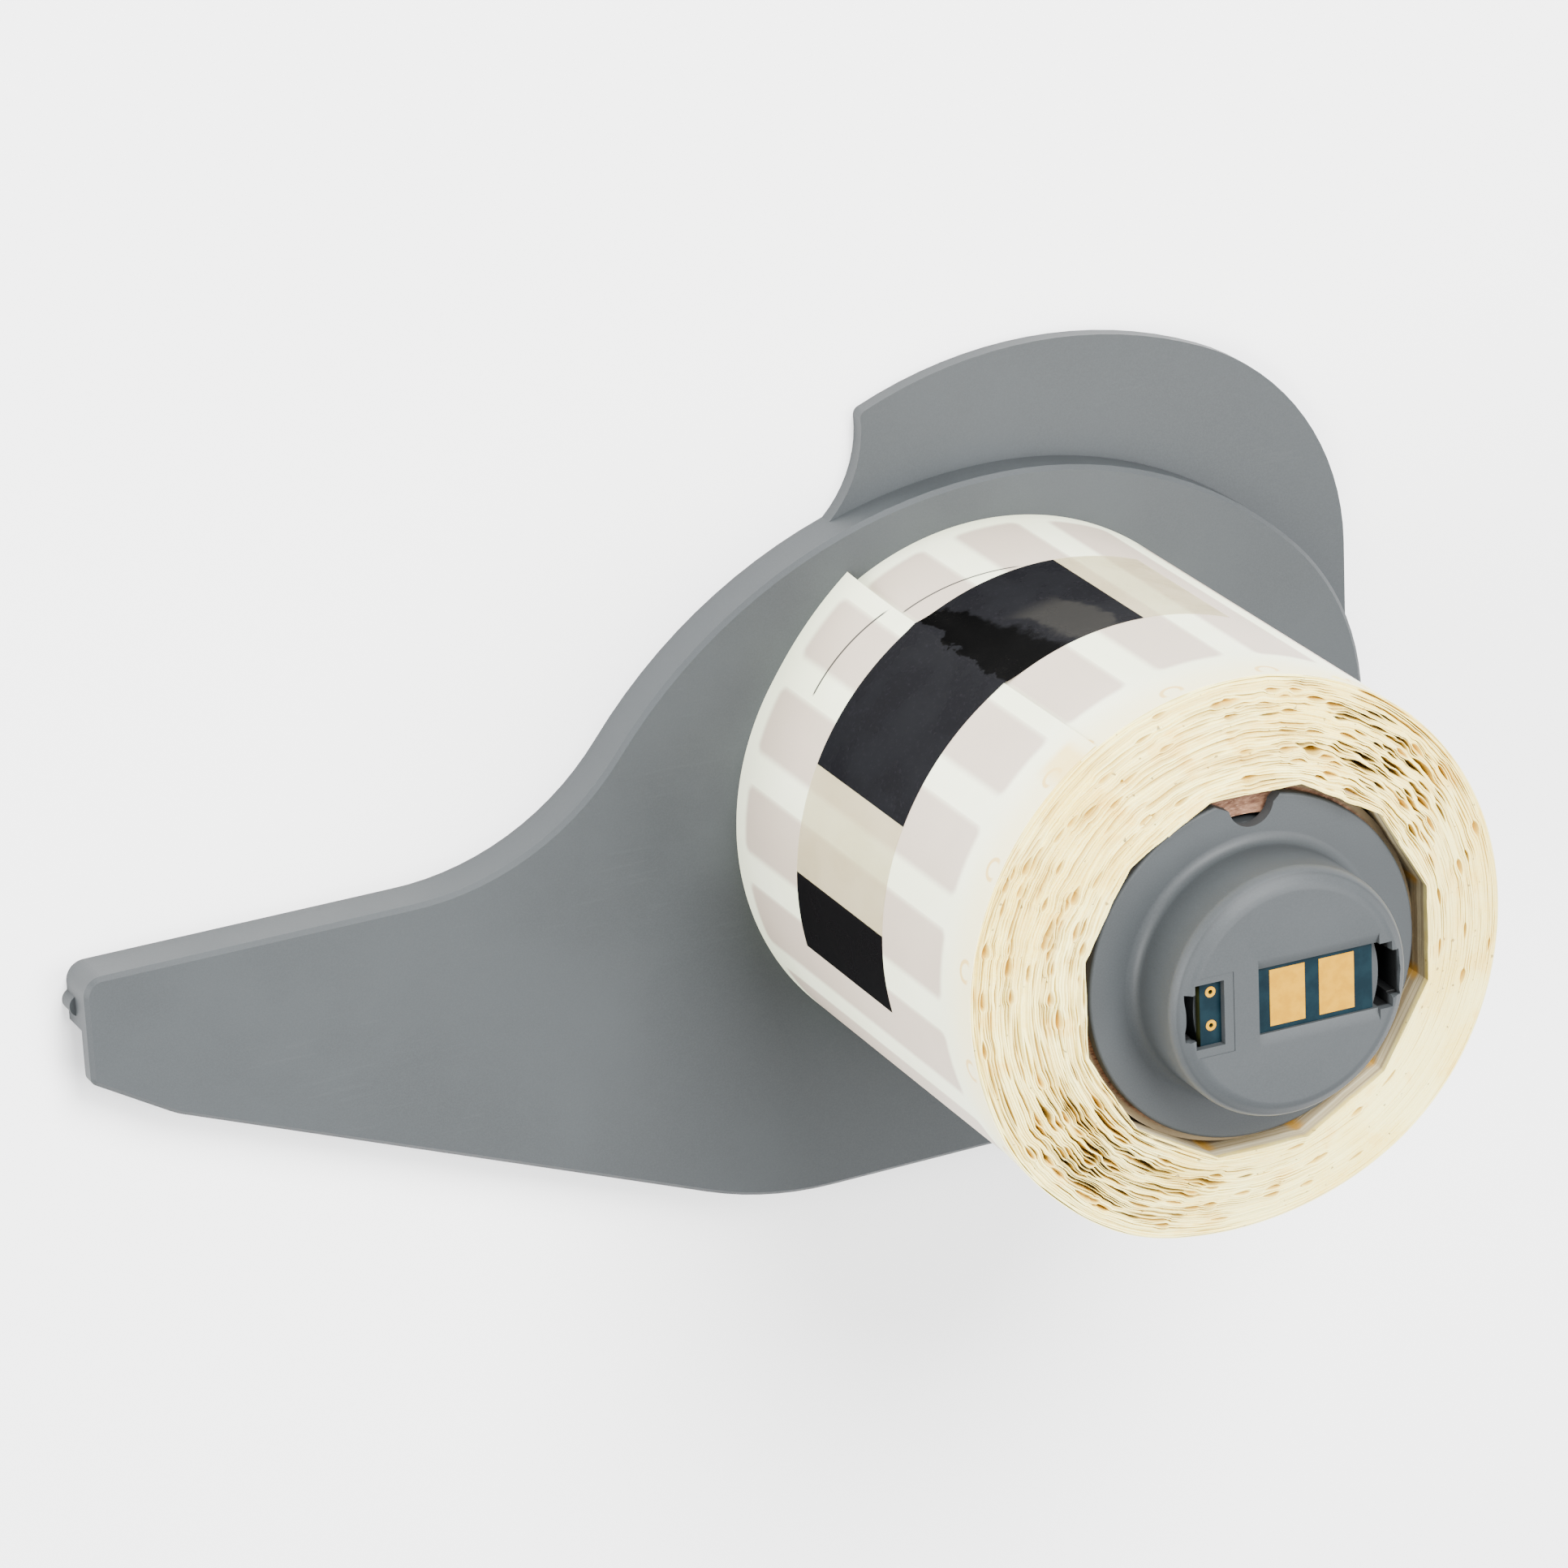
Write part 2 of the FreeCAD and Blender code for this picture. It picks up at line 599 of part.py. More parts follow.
turned_roll = doc.addObject("PartDesign::Body", "wound_turns")
turn_profile = new_sketch(turned_roll, "turn_profile", "XZ_Plane")
profile = [("0", "Sizes.roll_base + Sizes.roll_cone", None, 0),
           (bore_start, "Sizes.roll_base + Sizes.roll_cone", None, 0),
           ("Sizes.roll_radius + 1", name("roll_base"), None, 0)]
for index in range(turn_count, 0, -1):
    outer = float(index) / turn_count
    middle = (index - 0.45) / turn_count
    profile.append(("%s + %s * %.4f" % (bore_start, span, outer),
                    cone_height("%.4f" % outer) + " - Sizes.turn_groove", None, 0))
    profile.append(("%s + %s * %.4f" % (bore_start, span, middle),
                    cone_height("%.4f" % middle), None, 0))
profile.append((bore_start, roll_front + " - Sizes.turn_groove", None, 0))
profile.append(("0", roll_front + " - Sizes.turn_groove", None, 0))
outline(turn_profile, profile, evaluate)
turns = turned_roll.newObject("PartDesign::Revolution", "turns")
turns.Profile = turn_profile
turns.ReferenceAxis = (turn_profile, ["V_Axis"])
turns.Angle = 360
doc.recompute()


def winding(label, radius, bridge=None):
    """Prism inside the winding's outer curve: two half circles whose radii differ by half the step."""
    sketch = doc.addObject("Sketcher::SketchObject", label + "_curve")
    big = evaluate(radius)
    step = sizes["strip_step"]
    bend = 0.0 if bridge is None else math.radians(sizes[bridge])
    small = big - step / 2.0
    upper = sketch.addGeometry(Part.ArcOfCircle(
        Part.Circle(vector(0, 0, 0), vector(0, 0, 1), big), 0, math.pi), False)
    lower = sketch.addGeometry(Part.ArcOfCircle(
        Part.Circle(vector(-step / 2.0, 0, 0), vector(0, 0, 1), small),
        math.pi, 2.0 * math.pi - bend), False)
    close = sketch.addGeometry(Part.LineSegment(
        vector(-step / 2.0 + small * math.cos(bend), -small * math.sin(bend), 0),
        vector(big, 0, 0)), False)
    sketch.addConstraint(Sketcher.Constraint("Coincident", upper, 3, -1, 1))
    sketch.addConstraint(Sketcher.Constraint("PointOnObject", upper, 1, -1))
    sketch.addConstraint(Sketcher.Constraint("PointOnObject", upper, 2, -1))
    sketch.addConstraint(Sketcher.Constraint("PointOnObject", lower, 3, -1))
    sketch.addConstraint(Sketcher.Constraint("Coincident", upper, 2, lower, 1))
    sketch.addConstraint(Sketcher.Constraint("Coincident", lower, 2, close, 1))
    sketch.addConstraint(Sketcher.Constraint("Coincident", close, 2, upper, 1))
    size_of = sketch.addConstraint(Sketcher.Constraint("Radius", upper, big))
    sketch.setExpression("Constraints[%d]" % size_of, radius)
    less = sketch.addConstraint(Sketcher.Constraint("Radius", lower, small))
    sketch.setExpression("Constraints[%d]" % less, "%s - Sizes.strip_step / 2" % radius)
    if bridge is None:
        sketch.addConstraint(Sketcher.Constraint("PointOnObject", close, 1, -1))
    else:
        low = sketch.addConstraint(
            Sketcher.Constraint("DistanceY", -1, 1, close, 1, -small * math.sin(bend)))
        sketch.setExpression("Constraints[%d]" % low,
                             "-(%s - Sizes.strip_step / 2) * sin(Sizes.%s * 1 deg)" % (radius, bridge))
    prism = doc.addObject("Part::Extrusion", label)
    prism.Base = sketch
    prism.DirMode = "Custom"
    prism.Dir = vector(0, 0, 1)
    prism.Solid = True
    prism.setExpression("LengthFwd", "Sizes.roll_base + Sizes.roll_width + Sizes.roll_cone + 2")
    sketch.setExpression("Placement.Rotation.Angle", "Sizes.strip_end_angle")
    sketch.Placement.Rotation = FreeCAD.Rotation(vector(0, 0, 1), sizes["strip_end_angle"])
    doc.recompute()
    return prism


def join(kind, label, base, tool):
    feature = doc.addObject("Part::" + kind, label)
    feature.Base = base
    feature.Tool = tool
    doc.recompute()
    return feature


roll_curve = winding("roll_curve", name("roll_radius"))
trimmed = join("Common", "trimmed_turns", turned_roll, roll_curve)
bore = doc.addObject("Part::Prism", "roll_bore")
bore.Polygon = 12
bore.setExpression("Circumradius", "(Sizes.core_radius + 0.02) / cos(15 deg)")
bore.setExpression("Height", "Sizes.roll_base + Sizes.roll_width + Sizes.roll_cone + 5")
label_roll = join("Cut", "label_roll", trimmed, bore)

# Labels on the outer turn: a thin shell over the winding, cut into labels with rounded corners

label_curve = winding("label_curve", "(Sizes.roll_radius + Sizes.label_thickness)")
label_shell = join("Cut", "label_shell", label_curve, winding("label_inner", name("roll_radius")))


def sector(label, base, width, start, arc):
    """Wedge of a disc about the roll's axis."""
    wedge = doc.addObject("Part::Cylinder", label)
    wedge.setExpression("Radius", "Sizes.roll_radius + 3")
    wedge.setExpression("Height", width)
    wedge.setExpression("Angle", arc)
    wedge.Placement = FreeCAD.Placement(vector(0, 0, 0), FreeCAD.Rotation(vector(0, 0, 1), 1))
    wedge.setExpression("Placement.Base.z", base)
    wedge.setExpression("Placement.Rotation.Angle", start)
    return wedge


# the last turn's label beside the strip's end is covered in part by the end
wedges = []
label_places = 16
for index in range(label_places):
    start = "Sizes.label_start + Sizes.label_pitch * %d" % index
    wedges.append(sector("label_sector_%02d" % (index + 1), name("label_base"), name("label_width"),
                         start, name("label_arc")))
covered = sector("label_sector_17", name("label_base"), name("label_width"),
                 "Sizes.strip_end_angle - 13.4", "13.2")
wedges.append(covered)
label_fields = doc.addObject("Part::MultiFuse", "label_fields")
label_fields.Shapes = wedges
doc.recompute()
outer_labels = join("Common", "outer_labels", label_shell, label_fields)

# Tape that holds the strip's end down, with its black blocks

tape_inner = winding("tape_inner", "(Sizes.roll_radius + Sizes.label_thickness)", "tape_bridge")
tape_outer = winding("tape_outer", "(Sizes.roll_radius + Sizes.label_thickness + Sizes.tape_thickness)",
                     "tape_bridge")
tape_shell = join("Cut", "tape_shell", tape_outer, tape_inner)
clear_first = sector("clear_field_first", name("tape_base"), name("tape_width"),
                     name("tape_start"), "Sizes.black_start - Sizes.tape_start")
clear_second = sector("clear_field_second", name("tape_base"), name("tape_width"),
                      name("black_end"), "Sizes.bar_start - Sizes.black_end")
clear_fields = join("Fuse", "clear_fields", clear_first, clear_second)
tape_clear = join("Common", "tape_clear", tape_shell, clear_fields)
black_first = sector("black_field_first", name("tape_base"), name("tape_width"),
                     name("black_start"), "Sizes.black_end - Sizes.black_start")
black_second = sector("black_field_second", name("tape_base"), name("tape_width"),
                      name("bar_start"), "Sizes.tape_end - Sizes.bar_start")
black_fields = join("Fuse", "black_fields", black_first, black_second)
tape_black = join("Common", "tape_black", tape_shell, black_fields)

# Build, test and export

doc.recompute()
nodes = [side_plate, end_cap, memory_board]
nodes += [doc.getObject(label) for label in ("contact_pad_near", "contact_pad_far",
                                             "plated_hole_upper", "plated_hole_lower")]
nodes += [cardboard_core, label_roll, outer_labels, tape_clear, tape_black]

for item in doc.Objects:
    if "Invalid" in item.State or "Error" in item.State:
        raise RuntimeError("%s: %s" % (item.Name, item.State))
for item in nodes:
    if item.Shape.isNull() or not item.Shape.isValid() or item.Shape.Volume <= 0:
        raise RuntimeError("bad shape: " + item.Label)
    item.Shape.exportStep(os.path.join("parts", item.Label + ".step"))
    box = item.Shape.BoundBox
    print("%-20s %2d solid(s) %10.2f mm3  x %.2f..%.2f y %.2f..%.2f z %.2f..%.2f" % (
        item.Label, len(item.Shape.Solids), item.Shape.Volume,
        box.XMin, box.XMax, box.YMin, box.YMax, box.ZMin, box.ZMax))
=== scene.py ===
import math

import bpy
import numpy as np
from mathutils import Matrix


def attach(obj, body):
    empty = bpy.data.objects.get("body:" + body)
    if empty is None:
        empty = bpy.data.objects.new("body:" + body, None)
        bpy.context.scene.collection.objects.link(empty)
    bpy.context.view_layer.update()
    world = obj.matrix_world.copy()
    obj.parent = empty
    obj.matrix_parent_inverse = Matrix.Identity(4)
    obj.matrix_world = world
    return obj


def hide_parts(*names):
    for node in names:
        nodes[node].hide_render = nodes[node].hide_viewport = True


# A printer's label roll on its moulded cartridge: grey side plate with a finger fin, a hub with an
# end cap and contact board, a cardboard core, and the wound strip of labels held by a tape.
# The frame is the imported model's, in metres; sizes below are in millimetres and go through mm().

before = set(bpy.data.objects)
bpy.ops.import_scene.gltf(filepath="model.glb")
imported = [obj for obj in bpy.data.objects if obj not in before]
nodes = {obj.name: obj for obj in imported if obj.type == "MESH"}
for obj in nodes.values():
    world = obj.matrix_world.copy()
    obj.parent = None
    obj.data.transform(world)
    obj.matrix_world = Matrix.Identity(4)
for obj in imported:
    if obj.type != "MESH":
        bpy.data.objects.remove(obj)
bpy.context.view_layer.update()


def mm(value):
    return value * 0.001


# Sizes of the pieces that are modelled here

disc_radius = 20.0
disc_base = 68.5
disc_face = 70.0
nose_radius = 14.45
nose_top = 79.5
nose_chamfer_drop = 1.3
nose_face_radius = 12.7
plug_radius = 14.87
plug_wall = 2.2
plug_base = 62.5
cap_floor = 73.3

slot_reach = 12.1
slot_half = 3.95
slot_floor = 72.9
slot_end_reach = 13.2
slot_end_half = 2.6
board_top = 78.55
board_seat = 77.5
seat_radius = 11.35
past_face = 80.0
skin_base = 78.4
window_half = 3.85
window_left = -4.35
notch_centre = 19.2

strip_width = 60.4
turn_count = 46
turn_pitch = 0.2478
outer_radius = 32.66
bore_flat = 21.02
rear_edge = 6.2
front_edge = 66.55
cone_rise = 5.0
label_half_length = 2.9
label_half_width = 24.2
strip_middle = 27.9
die_radius = 1.15
die_line = 58.9
tape_low = 22.7
tape_high = 44.8
mm_per_degree = 0.57

# Angles about the roll's axis, in degrees

strip_end = 120.5
label_pitch = 21.18
label_lead = 4.0
label_creep = 2.4
label_middle = 7.3
die_pitch = 20.7


# Bench work: choosing, cutting and finishing

def take(piece):
    """Makes one piece the only one that is worked on."""
    if bpy.context.mode != "OBJECT":
        bpy.ops.object.mode_set(mode="OBJECT")
    bpy.ops.object.select_all(action="DESELECT")
    piece.select_set(True)
    bpy.context.view_layer.objects.active = piece


def named(name):
    piece = bpy.context.active_object
    piece.name = name
    piece.data.name = name
    return piece


def choose_faces(piece, test):
    bpy.ops.object.mode_set(mode="EDIT")
    bpy.ops.mesh.select_mode(type="FACE")
    bpy.ops.mesh.select_all(action="DESELECT")
    bpy.ops.object.mode_set(mode="OBJECT")
    for face in piece.data.polygons:
        face.select = test(face.center * 1000.0, face.normal)
    bpy.ops.object.mode_set(mode="EDIT")


def choose_edges(piece, test):
    bpy.ops.object.mode_set(mode="EDIT")
    bpy.ops.mesh.select_mode(type="EDGE")
    bpy.ops.mesh.select_all(action="DESELECT")
    bpy.ops.object.mode_set(mode="OBJECT")
    points = piece.data.vertices
    for edge in piece.data.edges:
        start, end = (points[index].co * 1000.0 for index in edge.vertices)
        edge.select = test(start, end)
    bpy.ops.object.mode_set(mode="EDIT")


def ring_edges(radius, height):
    """Test for the edges of one level circle about the roll's axis."""
    def test(start, end):
        return all(abs(math.hypot(point.x, point.y) - radius) < 0.02
                   and abs(point.z - height) < 0.02 for point in (start, end))
    return test


def leave_edit():
    bpy.ops.object.mode_set(mode="OBJECT")


def finish_with(piece, kind, name, **settings):
    """Adds one modifier with its settings and applies it."""
    take(piece)
    modifier = piece.modifiers.new(name, kind)
    for key, value in settings.items():
        setattr(modifier, key, value)
    bpy.ops.object.modifier_apply(modifier=name)


def block(name, left, right, front, back, low, high):
    bpy.ops.mesh.primitive_cube_add(
        size=1, location=(mm(left + right) / 2, mm(front + back) / 2, mm(low + high) / 2),
        scale=(mm(right - left), mm(back - front), mm(high - low)))
    piece = named(name)
    bpy.ops.object.transform_apply(location=True, rotation=True, scale=True)
    return piece


def round_bar(name, radius, low, high, sides=96, x=0.0, y=0.0):
    bpy.ops.mesh.primitive_cylinder_add(
        vertices=sides, radius=mm(radius), depth=mm(high - low), location=(mm(x), mm(y), mm(high + low) / 2))
    piece = named(name)
    bpy.ops.object.transform_apply(location=True, rotation=True, scale=True)
    return piece


def tidy_mesh(merge=True):
    """In edit mode: merges doubles and turns all faces outwards."""
    bpy.ops.mesh.select_all(action="SELECT")
    if merge:
        bpy.ops.mesh.remove_doubles(threshold=1e-6)
    bpy.ops.mesh.normals_make_consistent(inside=False)


def rough_block(name, left, right, front, back, low, high, seed):
    """A block with uneven sides, for an opening whose skin has torn edges."""
    piece = block(name, left, right, front, back, low, high)
    bpy.ops.object.mode_set(mode="EDIT")
    bpy.ops.mesh.select_all(action="SELECT")
    bpy.ops.mesh.subdivide(number_cuts=4)
    bpy.ops.transform.vertex_random(offset=mm(0.22), seed=seed)
    leave_edit()
    return piece


def cut_away(piece, tool):
    finish_with(piece, "BOOLEAN", "cut", operation="DIFFERENCE", solver="EXACT", object=tool)
    bpy.data.objects.remove(tool, do_unlink=True)


def smooth(piece, degrees=30.0):
    take(piece)
    bpy.ops.object.shade_smooth_by_angle(angle=math.radians(degrees))


# Node groups that more than one finish uses

def group(name, inputs, outputs):
    tree = bpy.data.node_groups.new(name, "ShaderNodeTree")
    for label, kind, value in inputs:
        socket = tree.interface.new_socket(label, in_out="INPUT", socket_type=kind)
        if value is not None:
            socket.default_value = value
    for label, kind in outputs:
        tree.interface.new_socket(label, in_out="OUTPUT", socket_type=kind)
    return tree, tree.nodes.new("NodeGroupInput"), tree.nodes.new("NodeGroupOutput")


def add(tree, kind, **settings):
    node = tree.nodes.new(kind)
    for key, value in settings.items():
        setattr(node, key, value)
    return node


def noise(tree, vector, scale, detail=2.0, roughness=0.5):
    node = add(tree, "ShaderNodeTexNoise")
    node.inputs["Detail"].default_value = detail
    node.inputs["Roughness"].default_value = roughness
    if isinstance(scale, (int, float)):
        node.inputs["Scale"].default_value = scale
    else:
        tree.links.new(scale, node.inputs["Scale"])
    tree.links.new(vector, node.inputs["Vector"])
    return node.outputs["Fac"]


def sum_of(tree, operation, first, second=None, third=None, clamp=False):
    node = add(tree, "ShaderNodeMath", operation=operation, use_clamp=clamp)
    for index, value in enumerate((first, second, third)):
        if value is None:
            continue
        if isinstance(value, (int, float)):
            node.inputs[index].default_value = value
        else:
            tree.links.new(value, node.inputs[index])
    return node.outputs[0]


def product(tree, first, *others):
    for other in others:
        first = sum_of(tree, "MULTIPLY", first, other)
    return first


def between(tree, value, low, high, out_low=0.0, out_high=1.0, kind="SMOOTHSTEP"):
    node = add(tree, "ShaderNodeMapRange", interpolation_type=kind)
    tree.links.new(value, node.inputs["Value"])
    for label, number in (("From Min", low), ("From Max", high), ("To Min", out_low),
                          ("To Max", out_high)):
        node.inputs[label].default_value = number
    return node.outputs["Result"]


def parts_of(tree, vector):
    split = add(tree, "ShaderNodeSeparateXYZ")
    tree.links.new(vector, split.inputs[0])
    return [split.outputs[axis] for axis in "XYZ"]


def axis_distance(tree, x, y):
    """Distance from the roll's axis."""
    squares = [sum_of(tree, "MULTIPLY", side, side) for side in (x, y)]
    return sum_of(tree, "POWER", sum_of(tree, "ADD", *squares), 0.5)


def strip_place(tree):
    """Place on a sheet from its own UV map: a thousandth of its angle, and metres from its rear edge."""
    flat = add(tree, "ShaderNodeUVMap", uv_map="strip_mm")
    return parts_of(tree, flat.outputs["UV"])[:2]


def mix_colour(tree, share, first, second):
    node = add(tree, "ShaderNodeMix", data_type="RGBA")
    if isinstance(share, (int, float)):
        node.inputs["Factor"].default_value = share
    else:
        tree.links.new(share, node.inputs["Factor"])
    for label, value in (("A", first), ("B", second)):
        socket = [s for s in node.inputs if s.name == label and s.type == "RGBA"][0]
        if isinstance(value, tuple):
            socket.default_value = value + (1.0,)
        else:
            tree.links.new(value, socket)
    return [s for s in node.outputs if s.type == "RGBA"][0]


def make_grain():
    """Fine grain and broad patches: moulded plastic, paper and board share it."""
    tree, give, take_out = group(
        "grain_and_patches",
        [("Vector", "NodeSocketVector", None), ("Grain", "NodeSocketFloat", 4000.0),
         ("Patch", "NodeSocketFloat", 60.0)],
        [("Fine", "NodeSocketFloat"), ("Broad", "NodeSocketFloat")])
    fine = noise(tree, give.outputs["Vector"], give.outputs["Grain"], 3.0, 0.6)
    broad = noise(tree, give.outputs["Vector"], give.outputs["Patch"], 4.0, 0.55)
    tree.links.new(fine, take_out.inputs["Fine"])
    tree.links.new(broad, take_out.inputs["Broad"])
    return tree


def make_scuffs():
    """Sparse short scuffs from handling, as a mask."""
    tree, give, take_out = group(
        "handling_scuffs",
        [("Vector", "NodeSocketVector", None), ("Scale", "NodeSocketFloat", 90.0),
         ("Rarity", "NodeSocketFloat", 0.66)],
        [("Mask", "NodeSocketFloat")])
    turn = add(tree, "ShaderNodeMapping")
    turn.inputs["Rotation"].default_value = (0.3, 0.2, 0.7)
    turn.inputs["Scale"].default_value = (1.0, 14.0, 5.0)
    tree.links.new(give.outputs["Vector"], turn.inputs["Vector"])
    streak = noise(tree, turn.outputs["Vector"], give.outputs["Scale"], 2.0, 0.5)
    patch = noise(tree, give.outputs["Vector"], 55.0, 1.0, 0.5)
    lines = sum_of(tree, "SUBTRACT", streak, give.outputs["Rarity"])
    lines = sum_of(tree, "MULTIPLY", lines, 14.0, clamp=True)
    spots = between(tree, patch, 0.5, 0.62)
    tree.links.new(sum_of(tree, "MULTIPLY", lines, spots), take_out.inputs["Mask"])
    return tree


grain_group = make_grain()
scuff_group = make_scuffs()


def use_group(tree, source, vector, **values):
    node = add(tree, "ShaderNodeGroup", node_tree=source)
    tree.links.new(vector, node.inputs["Vector"])
    for label, value in values.items():
        node.inputs[label].default_value = value
    return node


def new_finish(name, roughness, **fixed):
    finish = bpy.data.materials.new(name)
    finish.use_nodes = True
    tree = finish.node_tree
    shader = tree.nodes["Principled BSDF"]
    shader.inputs["Roughness"].default_value = roughness
    for label, value in fixed.items():
        shader.inputs[label.replace("_", " ")].default_value = value
    where = add(tree, "ShaderNodeTexCoord").outputs["Object"]
    return finish, tree, shader, where


def raise_surface(tree, shader, height, strength, distance):
    bump = add(tree, "ShaderNodeBump")
    bump.inputs["Strength"].default_value = strength
    bump.inputs["Distance"].default_value = distance
    tree.links.new(height, bump.inputs["Height"])
    tree.links.new(bump.outputs["Normal"], shader.inputs["Normal"])


# Finishes

def moulded_plastic(name, light, dark, roughness):
    finish, tree, shader, where = new_finish(name, roughness, Specular_IOR_Level=0.28)
    grain = use_group(tree, grain_group, where, Grain=5200.0, Patch=38.0)
    scuffs = use_group(tree, scuff_group, where, Scale=120.0, Rarity=0.62)
    flow = between(tree, grain.outputs["Broad"], 0.36, 0.66)
    colour = mix_colour(tree, flow, dark, light)
    speck = between(tree, grain.outputs["Fine"], 0.3, 0.75, 0.0, 0.35)
    colour = mix_colour(tree, speck, colour, tuple(channel * 1.25 for channel in light))
    mark = sum_of(tree, "MULTIPLY", scuffs.outputs["Mask"], 0.02)
    colour = mix_colour(tree, mark, colour, (0.13, 0.145, 0.15))
    x, y, rise = parts_of(tree, where)
    around = axis_distance(tree, x, y)
    # painted shade: the deep pockets past the ends of the board are painted near-black where they lie in the
    # dark
    pocket_shade = product(tree, between(tree, around, mm(11.42), mm(11.5)),
                     between(tree, around, mm(14.0), mm(13.8)),
                     between(tree, rise, mm(78.95), mm(78.0), 0.0, 0.93),
                     between(tree, rise, mm(72.0), mm(72.5)))
    colour = mix_colour(tree, pocket_shade, colour, (0.0012, 0.0012, 0.0012))
    tree.links.new(colour, shader.inputs["Base Color"])
    gloss = between(tree, grain.outputs["Broad"], 0.3, 0.7, roughness - 0.06, roughness + 0.07)
    tree.links.new(gloss, shader.inputs["Roughness"])
    raise_surface(tree, shader, grain.outputs["Fine"], 0.12, 0.00005)
    return finish


def board_resin(name):
    finish, tree, shader, where = new_finish(name, 0.45, Specular_IOR_Level=0.07)
    grain = use_group(tree, grain_group, where, Grain=2600.0, Patch=420.0)
    tone = mix_colour(tree, between(tree, grain.outputs["Broad"], 0.35, 0.65),
                      (0.0016, 0.0085, 0.0130), (0.0032, 0.0130, 0.0185))
    rise = parts_of(tree, where)[2]
    under = between(tree, rise, mm(78.44), mm(78.50))
    colour = mix_colour(tree, under, (0.030, 0.034, 0.010), tone)
    tree.links.new(colour, shader.inputs["Base Color"])
    raise_surface(tree, shader, grain.outputs["Fine"], 0.06, 0.00003)
    return finish


def gold_plate(name):
    finish, tree, shader, where = new_finish(name, 0.42, Specular_IOR_Level=0.1)
    grain = use_group(tree, grain_group, where, Grain=6000.0, Patch=700.0)
    colour = mix_colour(tree, between(tree, grain.outputs["Broad"], 0.35, 0.65),
                        (0.385, 0.185, 0.002), (0.45, 0.225, 0.004))
    tree.links.new(colour, shader.inputs["Base Color"])
    shader.inputs["Metallic"].default_value = 0.15
    tree.links.new(between(tree, grain.outputs["Fine"], 0.3, 0.7, 0.36, 0.5),
                   shader.inputs["Roughness"])
    raise_surface(tree, shader, grain.outputs["Fine"], 0.08, 0.00002)
    return finish


def core_paper(name):
    finish, tree, shader, where = new_finish(name, 0.85)
    layers = add(tree, "ShaderNodeMapping")
    layers.inputs["Scale"].default_value = (1.0, 2.4, 0.35)
    tree.links.new(where, layers.inputs["Vector"])
    grain = use_group(tree, grain_group, layers.outputs["Vector"], Grain=1900.0, Patch=950.0)
    colour = mix_colour(tree, between(tree, grain.outputs["Broad"], 0.3, 0.7),
                        (0.10, 0.040, 0.020), (0.30, 0.155, 0.090))
    pale = between(tree, grain.outputs["Fine"], 0.55, 0.75, 0.0, 0.5)
    colour = mix_colour(tree, pale, colour, (0.46, 0.30, 0.20))
    x, y, rise = parts_of(tree, where)
    # beyond 20 mm from the axis the core's end takes the colour of the paper that wraps over it, darkened as
    # painted shade
    wrapped_paper_shade = between(tree, axis_distance(tree, x, y), mm(20.0), mm(20.5))
    colour = mix_colour(tree, wrapped_paper_shade, colour, (0.22, 0.165, 0.09))
    tree.links.new(colour, shader.inputs["Base Color"])
    raise_surface(tree, shader, grain.outputs["Fine"], 0.5, 0.00015)
    return finish


def bore_wall(tree, where, colour, patches):
    """The folded first turns in the bore: paper with painted shade that deepens down into the bore, with
    folds along it and glue in the corners.
    """
    x, y, rise = parts_of(tree, where)
    inside = between(tree, axis_distance(tree, x, y), mm(21.75), mm(21.95), 1.0, 0.0)
    below = between(tree, rise, mm(70.55), mm(71.15), 1.0, 0.0)
    wall = product(tree, inside, below)
    # painted shade: the wall's paper goes from pale at the rim to dark brown deep in the bore
    bore_paper_and_shade = mix_colour(tree, between(tree, rise, mm(66.8), mm(70.4)),
                      (0.22, 0.160, 0.085), (0.56, 0.47, 0.28))
    stretch = add(tree, "ShaderNodeMapping")
    stretch.inputs["Scale"].default_value = (30.0, 30.0, 1500.0)
    tree.links.new(where, stretch.inputs["Vector"])
    fold = noise(tree, stretch.outputs["Vector"], 1.0, 2.0, 0.5)
    bore_paper_and_shade = mix_colour(tree, between(tree, fold, 0.52, 0.62, 0.0, 0.7), bore_paper_and_shade, (0.78, 0.70, 0.47))
    bore_paper_and_shade = mix_colour(tree, between(tree, fold, 0.46, 0.38, 0.0, 0.6), bore_paper_and_shade, (0.20, 0.14, 0.07))
    wedge = sum_of(tree, "DIVIDE", sum_of(tree, "ARCTAN2", y, x), math.radians(30.0))
    wedge = sum_of(tree, "FRACT", sum_of(tree, "ADD", wedge, 12.0))
    corner = sum_of(tree, "ABSOLUTE", sum_of(tree, "SUBTRACT", wedge, 0.5))
    corner = sum_of(tree, "ADD", corner, product(tree, patches, 0.1))
    glue = product(tree, between(tree, corner, 0.06, 0.16, 1.0, 0.0),
                   between(tree, rise, mm(68.8), mm(69.9), 1.0, 0.0), 0.85)
    bore_paper_and_shade = mix_colour(tree, glue, bore_paper_and_shade, (0.55, 0.29, 0.035))
    return wall, colour, bore_paper_and_shade


